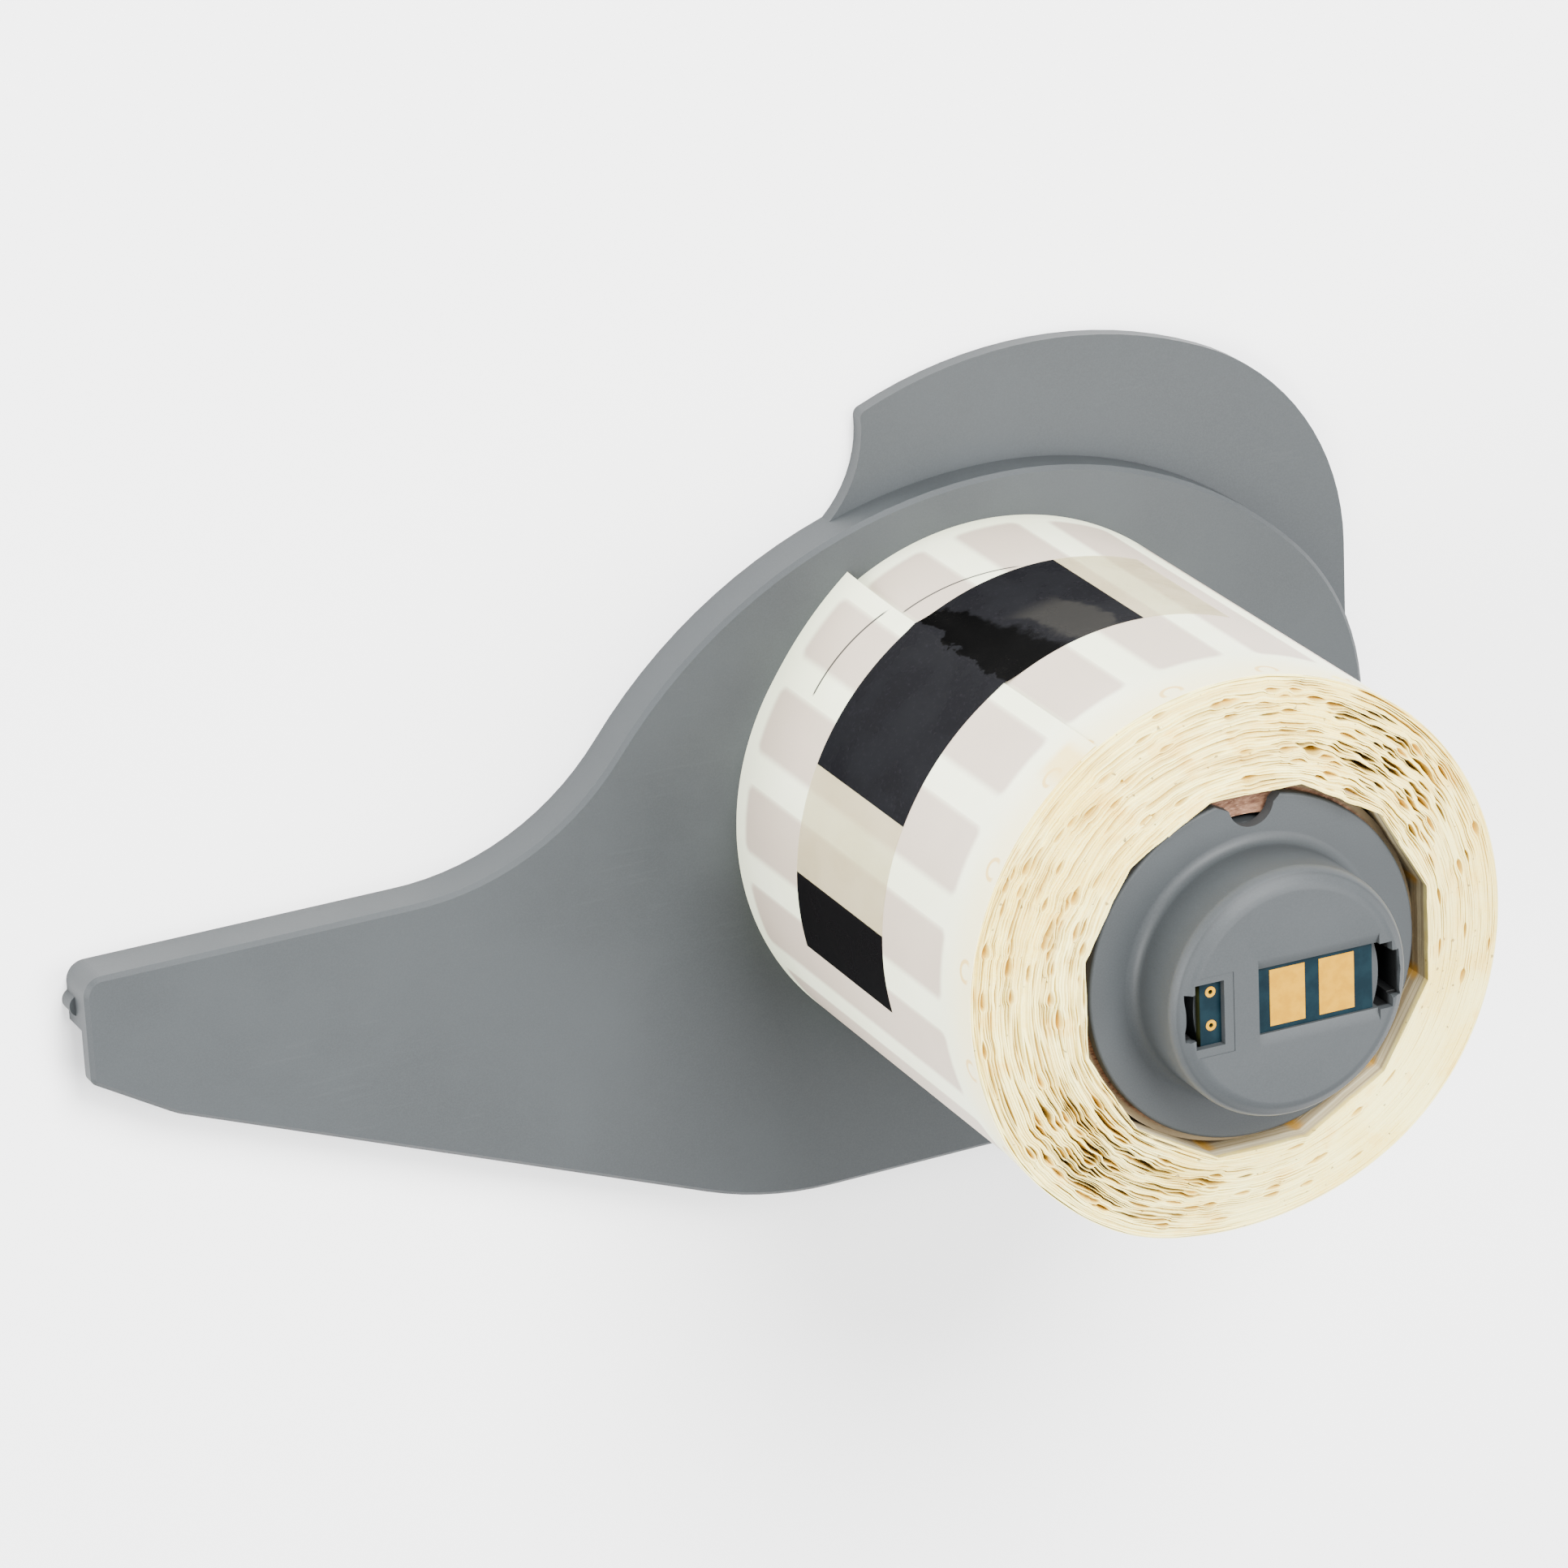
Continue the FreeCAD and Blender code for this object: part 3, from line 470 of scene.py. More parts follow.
def paper_edges(name):
    """The strip's cut edges: cream, with painted tan shade in the gaps and dies and painted dark shade where
    turns stand apart.
    """
    finish, tree, shader, where = new_finish(name, 0.8, Specular_IOR_Level=0.25)
    tone = add(tree, "ShaderNodeAttribute", attribute_name="edge_tone_and_shade")
    parts = add(tree, "ShaderNodeSeparateColor")
    tree.links.new(tone.outputs["Color"], parts.inputs[0])
    grain = use_group(tree, grain_group, where, Grain=3200.0, Patch=120.0)
    cream = mix_colour(tree, between(tree, grain.outputs["Broad"], 0.35, 0.65),
                       (0.95, 0.78, 0.21), (0.99, 0.90, 0.36))
    fibre = between(tree, grain.outputs["Fine"], 0.35, 0.7, 0.0, 0.35)
    cream = mix_colour(tree, fibre, cream, (0.995, 0.94, 0.50))
    stain = between(tree, noise(tree, where, 210.0, 3.0, 0.6), 0.55, 0.68, 0.0, 0.45)
    cream = mix_colour(tree, stain, cream, (0.90, 0.62, 0.13))
    speck = between(tree, noise(tree, where, 1300.0, 1.0, 0.5), 0.735, 0.76, 0.0, 0.8)
    cream = mix_colour(tree, speck, cream, (0.16, 0.12, 0.07))
    # painted shade: tan in the gaps between turns, tan in the openings and near black deep in them
    gap_shade = sum_of(tree, "MULTIPLY", parts.outputs["Red"], 0.9)
    colour = mix_colour(tree, gap_shade, cream, (0.56, 0.34, 0.05))
    colour = mix_colour(tree, parts.outputs["Green"], colour, (0.64, 0.40, 0.035))
    colour = mix_colour(tree, parts.outputs["Blue"], colour, (0.060, 0.017, 0.004))
    colour = mix_colour(tree, *bore_wall(tree, where, colour, grain.outputs["Broad"]))
    tree.links.new(colour, shader.inputs["Base Color"])
    raise_surface(tree, shader, grain.outputs["Fine"], 0.35, 0.00008)
    return finish


def strip_back(name):
    """The outermost turn: pale liner with the labels showing as soft pink-grey fields."""
    finish, tree, shader, where = new_finish(name, 0.5, Specular_IOR_Level=0.35)
    along, across = strip_place(tree)
    grain = use_group(tree, grain_group, where, Grain=1500.0, Patch=70.0)
    # place within one label's pitch; towards the inner end of the turn the pitch creeps forward
    lead = between(tree, along, 0.215, 0.460, mm(strip_end + label_lead),
                   mm(strip_end + label_lead + label_creep), kind="LINEAR")
    beat = sum_of(tree, "DIVIDE", sum_of(tree, "SUBTRACT", along, lead), mm(label_pitch))
    beat = product(tree, sum_of(tree, "FRACT", beat), label_pitch)
    mid = sum_of(tree, "ABSOLUTE", sum_of(tree, "SUBTRACT", beat, label_middle))
    side = sum_of(tree, "ABSOLUTE", sum_of(tree, "SUBTRACT", across, mm(strip_middle)))
    # distance outside a rounded rectangle, in millimetres of the strip
    over_along = sum_of(tree, "SUBTRACT", product(tree, mid, mm_per_degree), label_half_length)
    over_across = sum_of(tree, "SUBTRACT", product(tree, side, 1000.0), label_half_width)
    away = sum_of(tree, "SQRT", sum_of(tree, "ADD", *(
        sum_of(tree, "POWER", sum_of(tree, "MAXIMUM", over, 0.0), 2.0)
        for over in (over_along, over_across))))
    label = between(tree, away, 0.55, 1.75, 1.0, 0.0)
    liner = mix_colour(tree, between(tree, grain.outputs["Broad"], 0.35, 0.65),
                       (0.80, 0.84, 0.60), (0.86, 0.89, 0.67))
    stock = mix_colour(tree, between(tree, grain.outputs["Broad"], 0.3, 0.7),
                       (0.47, 0.395, 0.310), (0.505, 0.425, 0.340))
    colour = mix_colour(tree, label, liner, stock)
    warm = between(tree, across, 0.0525, mm(strip_width), 0.0, 0.75)
    colour = mix_colour(tree, warm, colour, (0.90, 0.80, 0.42))
    # the half-round die cuts of the turn below show through as pale rings near the front edge
    mark_along = sum_of(tree, "DIVIDE", sum_of(tree, "SUBTRACT", along, 0.1200), mm(die_pitch))
    mark_along = sum_of(tree, "SUBTRACT", sum_of(tree, "FRACT", mark_along), 0.5)
    mark_along = product(tree, mark_along, die_pitch * mm_per_degree)
    mark_across = sum_of(tree, "SUBTRACT", product(tree, across, 1000.0), die_line)
    ring = sum_of(tree, "SQRT", sum_of(tree, "ADD", sum_of(tree, "POWER", mark_along, 2.0),
                                       sum_of(tree, "POWER", mark_across, 2.0)))
    ring = sum_of(tree, "ABSOLUTE", sum_of(tree, "SUBTRACT", ring, die_radius))
    ring = product(tree, between(tree, ring, 0.12, 0.36, 0.9, 0.0),
                   between(tree, mark_across, 0.2, 0.9, 1.0, 0.0))
    colour = mix_colour(tree, ring, colour, (0.74, 0.50, 0.14))
    glue_spot = product(tree, between(tree, along, 0.1215, 0.1245),
                        between(tree, along, 0.1330, 0.1290), between(tree, across, 0.0555, 0.0570),
                        between(tree, grain.outputs["Broad"], 0.35, 0.6, 0.2, 0.8))
    colour = mix_colour(tree, glue_spot, colour, (0.86, 0.62, 0.18))
    # a fine dark line runs along the turn, before and after the strip's end
    for first, last, start, end in ((0.4550, 0.4804, 15.5, 11.6), (0.1210, 0.1445, 9.9, 8.7)):
        line = between(tree, along, first, last, mm(start), mm(end), kind="LINEAR")
        bow = sum_of(tree, "SUBTRACT", along, (first + last) / 2)
        bow = product(tree, sum_of(tree, "POWER", bow, 2.0), 4.0)
        off = sum_of(tree, "SUBTRACT", sum_of(tree, "ADD", line, bow), across)
        off = sum_of(tree, "ABSOLUTE", off)
        hair = product(tree, between(tree, off, 0.00009, 0.00022, 1.0, 0.0),
                       between(tree, along, first, first + 0.002),
                       between(tree, along, last, last - 0.001))
        colour = mix_colour(tree, hair, colour, (0.012, 0.012, 0.010))
    tree.links.new(colour, shader.inputs["Base Color"])
    height = sum_of(tree, "ADD", sum_of(tree, "MULTIPLY", label, 0.6),
                    sum_of(tree, "MULTIPLY", grain.outputs["Broad"], 0.4))
    raise_surface(tree, shader, height, 0.25, 0.00008)
    return finish


def film(name, dark):
    """Hold-down tape: glossy film, clear or black."""
    finish, tree, shader, where = new_finish(name, 0.30, Specular_IOR_Level=0.006 if dark else 0.35)
    grain = use_group(tree, grain_group, where, Grain=2600.0, Patch=160.0)
    if dark:
        colour = mix_colour(tree, between(tree, grain.outputs["Broad"], 0.3, 0.7),
                            (0.0056, 0.0056, 0.0066), (0.0076, 0.0078, 0.0090))
        fine = between(tree, grain.outputs["Fine"], 0.55, 0.72, 0.0, 0.6)
        colour = mix_colour(tree, fine, colour, (0.013, 0.012, 0.015))
        place, across = strip_place(tree)
        ragged = sum_of(tree, "SUBTRACT", noise(tree, where, 330.0, 3.0, 0.6), 0.5)
        along = sum_of(tree, "ADD", place, product(tree, ragged, 0.010))
        slanted = sum_of(tree, "ADD", along, product(tree, across, 0.32))
        # where the film stands off the step it is painted a deeper black as shade; past that a painted
        # highlight stands in for the film's sheen
        deep = product(tree, between(tree, slanted, 0.1125, 0.1150), between(tree, along, 0.1205, 0.1200))
        painted_gleam = product(tree, between(tree, slanted, 0.0990, 0.1010),
                        between(tree, slanted, 0.1120, 0.1085),
                        between(tree, across, 0.009, 0.013, 0.0, 0.8))
        far = between(tree, place, 0.176, 0.178)
        colour = mix_colour(tree, far, colour, (0.0040, 0.0038, 0.0040))
        colour = mix_colour(tree, deep, colour, (0.0003, 0.0003, 0.0003))
        colour = mix_colour(tree, painted_gleam, colour, (0.022, 0.021, 0.019))
    else:
        colour = mix_colour(tree, between(tree, grain.outputs["Broad"], 0.3, 0.7),
                            (0.56, 0.49, 0.27), (0.62, 0.55, 0.33))
        shader.inputs["Alpha"].default_value = 0.35
    tree.links.new(colour, shader.inputs["Base Color"])
    tree.links.new(between(tree, grain.outputs["Broad"], 0.3, 0.7, 0.24, 0.36),
                   shader.inputs["Roughness"])
    raise_surface(tree, shader, grain.outputs["Broad"], 0.15, 0.0002)
    return finish


plastic = moulded_plastic("grey_plastic", (0.0365, 0.0410, 0.0435), (0.0305, 0.0342, 0.0362), 0.54)
resin = board_resin("board_resin")
gold = gold_plate("gold_plating")
brown_paper = core_paper("core_board")
cut_edges = paper_edges("strip_paper")
liner_back = strip_back("label_stock")
clear_film = film("clear_tape", False)
black_film = film("black_tape", True)


def coat(piece, finish):
    piece.data.materials.clear()
    piece.data.materials.append(finish)


# End cap: a disc turned up into a nose, with the board's slot and windows cut in it

def make_end_cap():
    cap = round_bar("end_cap_moulding", disc_radius, disc_base, disc_face, sides=144)

    choose_faces(cap, lambda centre, normal: normal.z > 0.9)
    bpy.ops.mesh.inset(thickness=mm(disc_radius - nose_radius))
    bpy.ops.mesh.extrude_region_move(
        TRANSFORM_OT_translate={"value": (0, 0, mm(nose_top - nose_chamfer_drop - disc_face))})
    bpy.ops.mesh.extrude_region_move(TRANSFORM_OT_translate={"value": (0, 0, mm(nose_chamfer_drop))})
    shrink = nose_face_radius / nose_radius
    bpy.ops.transform.resize(value=(shrink, shrink, 1))

    choose_faces(cap, lambda centre, normal: normal.z < -0.9)
    bpy.ops.mesh.inset(thickness=mm(disc_radius - plug_radius))
    bpy.ops.mesh.extrude_region_move(TRANSFORM_OT_translate={"value": (0, 0, mm(plug_base - disc_base))})
    bpy.ops.mesh.inset(thickness=mm(plug_wall))
    bpy.ops.mesh.extrude_region_move(TRANSFORM_OT_translate={"value": (0, 0, mm(cap_floor - plug_base))})

    soft_rings = [(nose_radius, disc_face, 1.3, 7), (nose_radius, nose_top - nose_chamfer_drop, 0.75, 5),
                  (nose_face_radius, nose_top, 0.55, 5), (disc_radius, disc_face, 0.35, 4),
                  (disc_radius, disc_base, 0.2, 2)]
    for radius, height, width, steps in soft_rings:
        choose_edges(cap, ring_edges(radius, height))
        bpy.ops.mesh.bevel(offset=mm(width), segments=steps, profile=0.5, affect="EDGES",
                           clamp_overlap=False)
    leave_edit()

    # slot for the board, deep only beyond the seat that carries it
    deep = block("deep_slot", -slot_reach, slot_reach, -slot_half, slot_half, slot_floor, 77.56)
    ends = block("slot_ends", -slot_end_reach, slot_end_reach, -slot_end_half, slot_end_half,
                 slot_floor, board_top)
    cut_away(deep, round_bar("seat_round", seat_radius, 70.0, 79.0))
    cut_away(cap, deep)
    cut_away(cap, block("shallow_slot", -slot_reach, slot_reach, -slot_half, slot_half,
                        board_seat, board_top))
    cut_away(ends, round_bar("seat_round", seat_radius, 70.995, 77.525))
    cut_away(cap, ends)

    # windows through the skin, each with its narrower end
    cut_away(cap, block("small_window_step", -12.6, -7.35, -4.75, 4.55, 79.40, past_face))
    cut_away(cap, block("small_window", -12.0, -8.5, -3.75, 3.75, skin_base, past_face))
    cut_away(cap, rough_block("small_window_end", -13.1, -11.0, -2.7, 2.75, 77.9, 80.2, 3))
    cut_away(cap, block("big_window", window_left, slot_reach, -window_half, window_half,
                        skin_base, past_face))
    cut_away(cap, rough_block("big_window_end", 11.0, 13.15, -2.75, 2.7, 77.9, 80.2, 8))

    # sloped lips lead the printer's contacts onto the pads
    for side in (-1, 1):
        lip = block("lip", window_left, 10.5, 0.0, 1.6, 78.9, 79.6)
        choose_edges(lip, lambda start, end: min(start.y, end.y) > 1.5 and max(start.z, end.z) < 79.0)
        bpy.ops.transform.translate(value=(0, mm(-1.6), 0))
        leave_edit()
        lip.scale = (1, side, 1)
        lip.location = (0, mm(3.8) * side, 0)
        bpy.ops.object.transform_apply(location=True, rotation=True, scale=True)
        bpy.ops.object.mode_set(mode="EDIT")
        tidy_mesh()
        leave_edit()
        cut_away(cap, lip)

    # notch in the rim: a round bottom, one steep side and one sloped side
    cut_away(cap, round_bar("notch_bottom", 2.75, 67.5, 71.5, sides=64, x=0.25, y=notch_centre))
    mouth = block("notch_mouth", -2.3, 2.75, 18.6, 21.2, 67.5, 71.5)
    choose_edges(mouth, lambda start, end: max(start.x, end.x) < 0 and min(start.y, end.y) > 20)
    bpy.ops.transform.translate(value=(mm(-5.2), 0, 0))
    choose_edges(mouth, lambda start, end: min(start.x, end.x) > 0 and min(start.y, end.y) > 20)
    bpy.ops.transform.translate(value=(mm(2.9), 0, 0))
    leave_edit()
    cut_away(cap, mouth)
    smooth(cap, 32.0)
    finish_with(cap, "WEIGHTED_NORMAL", "flat_faces", weight=80, keep_sharp=True)
    return cap


# Wound strip: a flat grid of turns, wound on the core

def value_noise(place, spacing, seed):
    """Smooth noise along the strip, -1 to 1, with one free value at each spacing."""
    knots = np.random.default_rng(seed).uniform(-1.0, 1.0, 8192)
    share = place / spacing
    whole = np.floor(share).astype(int)
    rest = share - whole
    rest = rest * rest * (3.0 - 2.0 * rest)
    return knots[whole % 8192] * (1.0 - rest) + knots[(whole + 1) % 8192] * rest


def face_noise(angle, turns, spacing, rate, lean, seed):
    """Smooth noise over the roll's face, -1 to 1: spacing in degrees, rate in values to a turn."""
    knots = np.random.default_rng(seed).uniform(-1.0, 1.0, 8192)
    cells = int(round(360.0 / spacing))
    first = angle / 360.0 * cells + lean * turns
    second = turns * rate
    a, b = np.floor(first).astype(int), np.floor(second).astype(int)
    u, v = first - a, second - b
    u, v = u * u * (3.0 - 2.0 * u), v * v * (3.0 - 2.0 * v)
    corner = [knots[((a + i) % cells * 197 + (b + j) * 1013) % 8192] for j in (0, 1) for i in (0, 1)]
    return (corner[0] * (1 - u) + corner[1] * u) * (1 - v) + (corner[2] * (1 - u) + corner[3] * u) * v


def gap_at(angle, turns):
    """How far the turn stands off the one outside it, 0 to 1; about one gap in three is open."""
    ripple = (0.75 * face_noise(angle, turns, 9.0, 0.85, 0.35, 3)
              + 0.45 * face_noise(angle, turns, 4.0, 1.0, -0.2, 4))
    return np.clip((ripple + 0.05) / 0.55, 0.0, 1.0)


def hump(angle, centre, width):
    away = (angle - centre + 180.0) % 360.0 - 180.0
    return np.exp(-(away / width) ** 2)


def roll_shape(angle, depth):
    """How far the real winding stands off a true circle; depth is 0 outside and 1 at the core."""
    turn = np.radians(angle)
    loose = 0.10 * np.sin(2.0 * turn + 0.9) + 0.06 * np.sin(3.0 * turn + 2.1) - 0.08
    loose = loose + 0.10 * hump(angle, 262.0, 16.0) + 0.80 * hump(angle, 318.0, 30.0)
    wedge = np.radians((angle + 15.0) % 30.0 - 15.0)
    sides = bore_flat / np.cos(wedge) - bore_flat * 1.009
    return loose * (1.0 - depth) + sides * np.exp(-(1.0 - depth) * 9.0) * (depth > 0)


def flare(angle, height):
    """The outer turns lean out near the front at the lower left."""
    rise = np.clip((height - 54.0) / 12.0, 0.0, 1.0)
    return (0.75 * hump(angle, 243.0, 17.0) + 0.45 * hump(angle, 216.0, 14.0)) * rise ** 2


def strip_length(turns):
    """Length of strip from its outer end, in millimetres."""
    return 2.0 * math.pi * (outer_radius * turns - turn_pitch * turns ** 2 / 2.0)


def wound_radius(turns, angle):
    depth = np.clip(turns / turn_count, 0.0, 1.0)
    return outer_radius - turn_pitch * turns + roll_shape(angle, depth)


def openings():
    """Where the turns part at the face: angle, turn, half length, width, and how deep it is and how dark its
    painted shade.
    """
    rng = np.random.default_rng(41)
    found = []
    while len(found) < 120:
        angle = rng.uniform(0.0, 360.0)
        if rng.uniform() < 0.9 * math.exp(-((angle - 330.0 + 180.0) % 360.0 - 180.0) ** 2 / 3600.0):
            continue
        found.append((angle, rng.integers(3, turn_count - 3), rng.uniform(0.85, 1.25),
                      rng.uniform(0.25, 0.62), rng.uniform(0.0, 0.10)))
    for centre, spread, count, longest in ((48.0, 12.0, 70, 1.8), (231.0, 13.0, 74, 3.0)):
        for _ in range(count):
            found.append((rng.normal(centre, spread), rng.integers(7, turn_count - 8),
                          rng.uniform(0.8, longest), rng.uniform(0.08, 0.27), rng.uniform(0.1, 0.95)))
    return found


def make_wound_strip():
    columns = 680
    rows = 3 * turn_count
    bpy.ops.mesh.primitive_grid_add(x_subdivisions=columns, y_subdivisions=rows, size=1)
    roll = named("wound_strip")
    mesh = roll.data
    flat = np.zeros(len(mesh.vertices) * 3)
    mesh.vertices.foreach_get("co", flat)
    flat = flat.reshape(-1, 3)
    column = np.rint((flat[:, 0] + 0.5) * columns)
    row = np.rint((0.5 - flat[:, 1]) * rows).astype(int)

    share = column / columns
    turns = row // 3 + share
    part = row % 3
    angle = (strip_end + 360.0 * share) % 360.0
    length = strip_length(turns)
    depth = np.clip(turns / turn_count, 0.0, 1.0)
    turn = np.radians(angle)

    # how loosely the turns lie on each other: tight at the lower right
    loose = 1.0 - 0.78 * hump(angle, 325.0, 60.0)
    kept = np.clip(turns * 2.0, 0.0, 1.0) * np.clip((turn_count - turns) * 0.5, 0.0, 1.0)
    gap_share = gap_at(angle, turns) * loose
    next_gap = gap_at(angle, turns + 1.0) * loose
    width = 0.15 + 0.45 * gap_share
    next_width = 0.15 + 0.45 * next_gap
    nudge = turn_pitch * loose * (0.40 * value_noise(length, 12.0, 5) + 0.22 * value_noise(length, 3.6, 6))
    sway = 0.10 * np.sin(7.0 * turn + 9.0 * depth) + 0.07 * np.sin(13.0 * turn - 15.0 * depth + 1.0)
    sway = sway * loose * 4.0 * depth * (1.0 - depth)
    phase = np.where(part == 0, 0.0, np.where(part == 1, width, 1.0 - 0.45 * next_width))
    radius = wound_radius(turns, angle) - turn_pitch * phase + (nudge + sway) * kept
    radius = radius + flare(angle, 66.0) * np.clip(1.0 - depth * 2.2, 0.0, 1.0)

    top = front_edge + cone_rise * depth ** 1.1
    top = top + loose * (0.26 * face_noise(angle, turns, 24.0, 0.9, 0.3, 8)
                         + 0.15 * face_noise(angle, turns, 7.0, 1.0, 0.5, 9)
                         + 0.05 * value_noise(length, 2.2, 10))
    gap_depth = 0.18 + 1.0 * gap_share

    # openings: the turn at one side leans out, the other in, and the floor between drops; the floor and the
    # turns beside it get painted tan and dark shade
    tan_opening_shade = np.zeros(len(flat))
    dark_opening_shade = np.zeros(len(flat))
    for spot, at_turn, half, wide, dark in openings():
        away = (angle - spot + 180.0) % 360.0 - 180.0
        near = np.nonzero((np.abs(away) < np.degrees(half / 20.0)) & (np.abs(turns - at_turn) < 16.0))[0]
        run = np.radians(away[near]) * (outer_radius - turn_pitch * at_turn)
        swell = np.sqrt(np.clip(1.0 - (run / half) ** 2, 0.0, 1.0)) * (0.9 + 0.35 * run / half)
        step = row[near] - 3 * at_turn
        level = np.where(step == 0, 0.0, np.where(step > 0, -1.0, 1.0))
        fade = np.exp(-np.abs(step) / 15.0)
        radius[near] += level * 0.5 * wide * swell * fade * np.clip(turns[near] / 4.0, 0.0, 1.0)
        floor = step == 0
        beside = np.abs(step) == 1
        gap_depth[near] += np.where(floor, swell * (0.7 + 1.6 * dark), 0.0)
        tan_opening_shade[near] = np.maximum(tan_opening_shade[near], swell * (0.95 * floor + 0.50 * beside))
        dark_opening_shade[near] = np.maximum(dark_opening_shade[near], swell * dark * (1.0 * floor + 0.45 * beside))
    top = top - np.where(part == 0, gap_depth, 0.0)

    points = np.column_stack((radius * np.cos(turn), radius * np.sin(turn), top)) * 0.001
    mesh.vertices.foreach_set("co", points.ravel())

    tone = mesh.color_attributes.new("edge_tone_and_shade", "FLOAT_COLOR", "POINT")
    colours = np.zeros((len(points), 4))
    # red: painted shade in the gaps between turns, elsewhere each turn's own tone, more tan towards 5
    # degrees; green and blue: painted tan and dark shade in the openings
    sheet = np.clip(0.08 + 0.42 * value_noise(length, 40.0, 31) * loose, 0.0, 1.0)
    between_turns = (part == 0) & (row > 0)
    colours[:, 0] = np.where(between_turns, np.clip(0.38 + 0.75 * gap_share, 0, 1),
                             sheet + 0.22 * hump(angle, 5.0, 35.0))
    colours[:, 1] = tan_opening_shade
    colours[:, 2] = dark_opening_shade
    colours[:, 3] = 1.0
    tone.data.foreach_set("color", colours.ravel())
    mesh.update()

    # the face's two rims go down to the rear face; below the front the outer one draws in again
    take(roll)
    bpy.ops.object.mode_set(mode="EDIT")
    bpy.ops.mesh.select_mode(type="VERT")
    tidy_mesh()
    bpy.ops.mesh.select_all(action="DESELECT")
    bpy.ops.mesh.select_mode(type="EDGE")
    bpy.ops.mesh.select_non_manifold()
    leave_edit()
    on_face = len(mesh.vertices)
    bpy.ops.object.mode_set(mode="EDIT")
    bpy.ops.mesh.extrude_edges_move(TRANSFORM_OT_translate={"value": (0, 0, mm(-12.0))})
    leave_edit()
    for point in mesh.vertices[on_face:]:
        reach = math.hypot(point.co.x, point.co.y) * 1000.0
        if reach > 28.0:
            lean = float(flare(math.degrees(math.atan2(point.co.y, point.co.x)) % 360.0, 66.0))
            point.co.xy *= (reach - lean - 0.12) / reach
    bpy.ops.object.mode_set(mode="EDIT")
    bpy.ops.mesh.extrude_edges_move(TRANSFORM_OT_translate={"value": (0, 0, mm(12.2 - strip_width))})
    bpy.ops.mesh.bridge_edge_loops()
    tidy_mesh(merge=False)
    leave_edit()
    return roll


def sheet_on_roll(name, first, last, low, high, across_steps, step, stand_off):
    """A sheet laid on the winding from one angle to another; stand_off gives its height there."""
    along_steps = max(2, int(round((last - first) / step)))
    bpy.ops.mesh.primitive_grid_add(x_subdivisions=along_steps, y_subdivisions=across_steps,
                                    size=1, calc_uvs=True)
    piece = named(name)
    mesh = piece.data
    flat = np.zeros(len(mesh.vertices) * 3)
    mesh.vertices.foreach_get("co", flat)
    flat = flat.reshape(-1, 3)
    angle = first + (flat[:, 0] + 0.5) * (last - first)
    height = low + (flat[:, 1] + 0.5) * (high - low)
    radius = stand_off(angle, height)
    turn = np.radians(angle)
    points = np.column_stack((radius * np.cos(turn), radius * np.sin(turn), height)) * 0.001
    mesh.vertices.foreach_set("co", points.ravel())
    laid = mesh.uv_layers.active
    laid.name = "strip_mm"
    spots = np.zeros(len(laid.data) * 2)
    laid.data.foreach_get("uv", spots)
    spots = spots.reshape(-1, 2)
    spots[:, 0] = (first + spots[:, 0] * (last - first)) / 1000.0
    spots[:, 1] = spots[:, 1] * (high - low) / 1000.0
    laid.data.foreach_set("uv", spots.ravel())
    mesh.update()
    take(piece)
    bpy.ops.object.mode_set(mode="EDIT")
    tidy_mesh(merge=False)
    leave_edit()
    if sum(face.normal.dot(face.center) for face in mesh.polygons) < 0:
        mesh.flip_normals()
    return piece


def outer_surface(angle):
    """Radius of the last turn's outer face; it steps in where the strip ends."""
    turns = (angle - strip_end) / 360.0
    return wound_radius(turns, angle) + 0.10


def make_last_turn():
    def stand_off(angle, height):
        radius = outer_surface(angle)
        past = np.clip(1.0 - (angle - strip_end) / 26.0, 0.0, 1.0)
        rear = np.clip((rear_edge + 14.0 - height) / 14.0, 0.0, 1.0)
        return radius + 1.35 * past ** 1.6 * rear ** 1.8 + 0.06 * past ** 6 + flare(angle % 360.0, height)
    piece = sheet_on_roll("last_turn", strip_end, strip_end + 364.0, rear_edge, front_edge,
                          60, 0.75, stand_off)
    finish_with(piece, "SOLIDIFY", "paper_thickness", thickness=mm(0.1), offset=-1.0)
    return piece


def film_height(angle, height):
    """The tape lies on the last turn and bridges the strip's end."""
    before = angle < strip_end
    ahead = np.clip((strip_end - angle) / 4.0, 0.0, 1.0)
    past = np.clip(1.0 - (angle - strip_end) / 26.0, 0.0, 1.0)
    settle = np.clip(1.0 - (angle - strip_end) / 4.0, 0.0, 1.0)
    base = np.where(before, outer_surface(angle + 360.0) + 0.36 * (1.0 - ahead) ** 2,
                    outer_surface(angle) + 0.06 * past ** 6 + 0.10 * settle ** 2)
    crease = 0.05 * hump(angle, strip_end - 2.0, 2.2) * np.sin(height * 0.55 + 1.0)
    return base + 0.055 + np.abs(crease) + flare(angle, height)


def make_film(name, fields, finish):
    sheets = []
    for index, (first, last) in enumerate(fields):
        sheets.append(sheet_on_roll("%s_%d" % (name, index), first, last, tape_low, tape_high,
                                    44, 0.5, film_height))
    take(sheets[0])
    for other in sheets[1:]:
        other.select_set(True)
    bpy.ops.object.join()
    piece = named(name)
    finish_with(piece, "SOLIDIFY", "film_thickness", thickness=mm(0.04), offset=-1.0)
    coat(piece, finish)
    smooth(piece, 40.0)
    return piece


end_cap = make_end_cap()
coat(end_cap, plastic)
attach(end_cap, "cartridge")
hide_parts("end_cap")

wound_strip = make_wound_strip()
coat(wound_strip, cut_edges)
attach(wound_strip, "roll")
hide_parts("label_roll")

last_turn = make_last_turn()
coat(last_turn, liner_back)
smooth(last_turn, 40.0)
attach(last_turn, "roll")
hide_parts("outer_labels")

clear_tape = make_film("clear_tape", [(69.5, 88.7), (154.8, 177.3)], clear_film)
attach(clear_tape, "roll")
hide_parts("tape_clear")

black_tape = make_film("black_tape", [(88.7, 154.8), (177.3, 193.7)], black_film)
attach(black_tape, "roll")
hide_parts("tape_black")

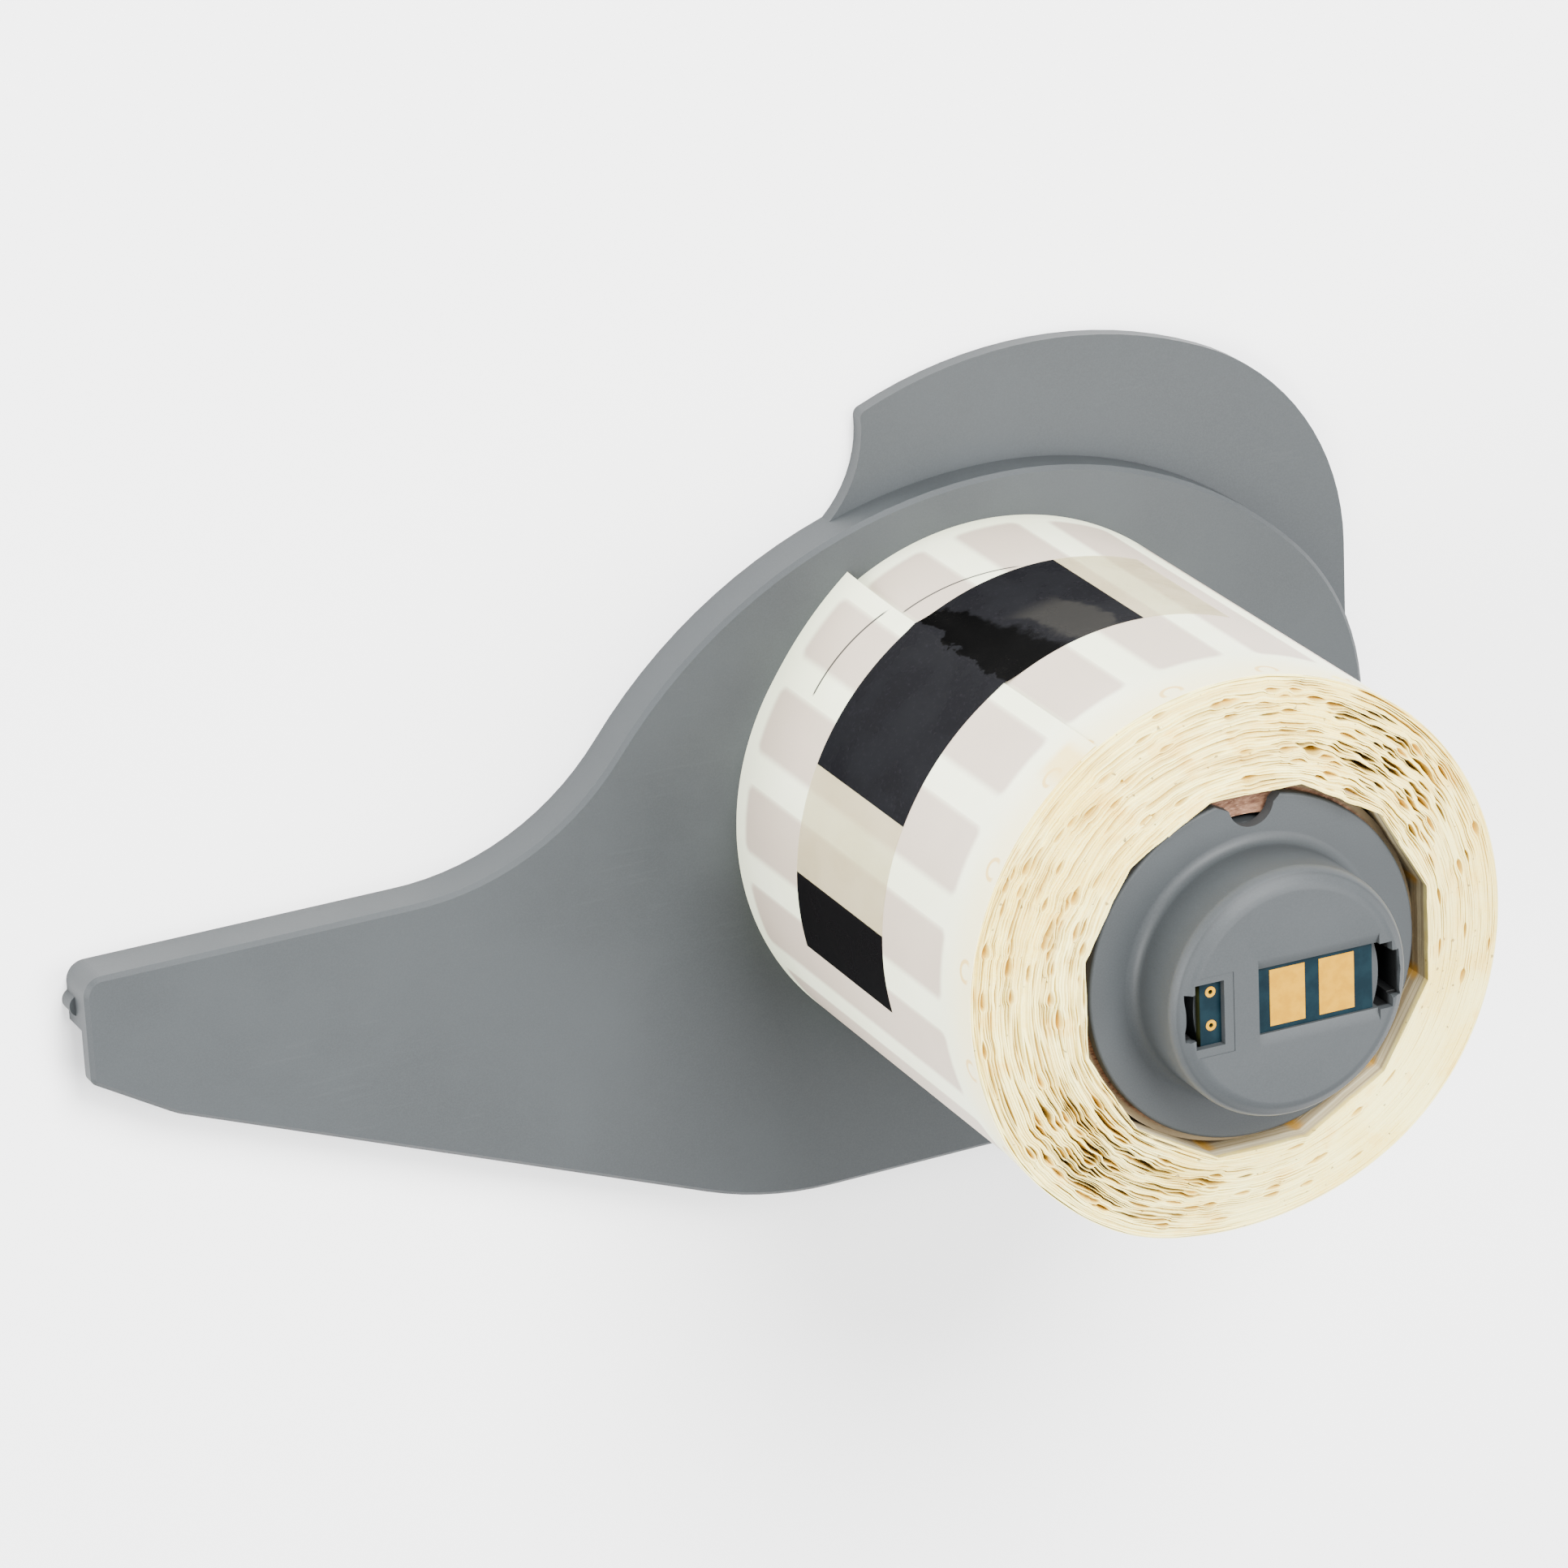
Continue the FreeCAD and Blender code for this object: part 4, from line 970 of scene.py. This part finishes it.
for node, finish in (("side_plate", plastic), ("memory_board", resin),
                     ("contact_pad_near", gold), ("contact_pad_far", gold),
                     ("plated_hole_upper", gold), ("plated_hole_lower", gold),
                     ("cardboard_core", brown_paper)):
    for slot in nodes[node].material_slots:
        slot.material = finish


# Floor, lights and camera

def make_floor():
    bpy.ops.mesh.primitive_plane_add(size=4.0, location=(0, 0, 0))
    floor = named("floor")
    finish, tree, shader, where = new_finish("pale_floor", 0.9)
    grain = use_group(tree, grain_group, where, Grain=600.0, Patch=3.0)
    colour = mix_colour(tree, grain.outputs["Broad"], (0.93, 0.93, 0.93), (0.96, 0.96, 0.96))
    tree.links.new(colour, shader.inputs["Base Color"])
    coat(floor, finish)


def make_light(name, place, aim, size, power, tint=(1.0, 1.0, 1.0)):
    lamp = bpy.data.lights.new(name, "AREA")
    lamp.shape = "DISK"
    lamp.size = size
    lamp.energy = power
    lamp.color = tint
    holder = bpy.data.objects.new(name, lamp)
    bpy.context.scene.collection.objects.link(holder)
    holder.location = place
    direction = np.array(aim) - np.array(place)
    length = math.hypot(direction[0], direction[1])
    holder.rotation_euler = (math.atan2(length, -direction[2]), 0.0,
                             math.atan2(direction[0], -direction[1]) + math.pi)


make_floor()
make_light("key_from_fin_side", (0.15, 0.95, 1.12), (0, 0, 0.03), 0.8, 66.0)
make_light("fill_from_tail_side", (-1.05, 0.10, 0.50), (0, 0, 0.03), 0.8, 24.0)
make_light("fill_from_nose_side", (0.45, 0.00, 1.15), (0, 0, 0.04), 0.8, 21.0)

world = bpy.data.worlds.new("pale_room")
world.use_nodes = True
world.node_tree.nodes["Background"].inputs["Color"].default_value = (0.97, 0.98, 1.0, 1.0)
world.node_tree.nodes["Background"].inputs["Strength"].default_value = 1.25
bpy.context.scene.world = world

lens = bpy.data.cameras.new("photo_view")
lens.sensor_width = 36.0
lens.lens = 167.684
lens.clip_start = 0.01
camera = bpy.data.objects.new("photo_view", lens)
bpy.context.scene.collection.objects.link(camera)
camera.location = (-0.3426031, 0.3129904, 0.7183005)
camera.rotation_euler = (-0.35589603, -0.43499904, -0.04911016)
bpy.context.scene.camera = camera
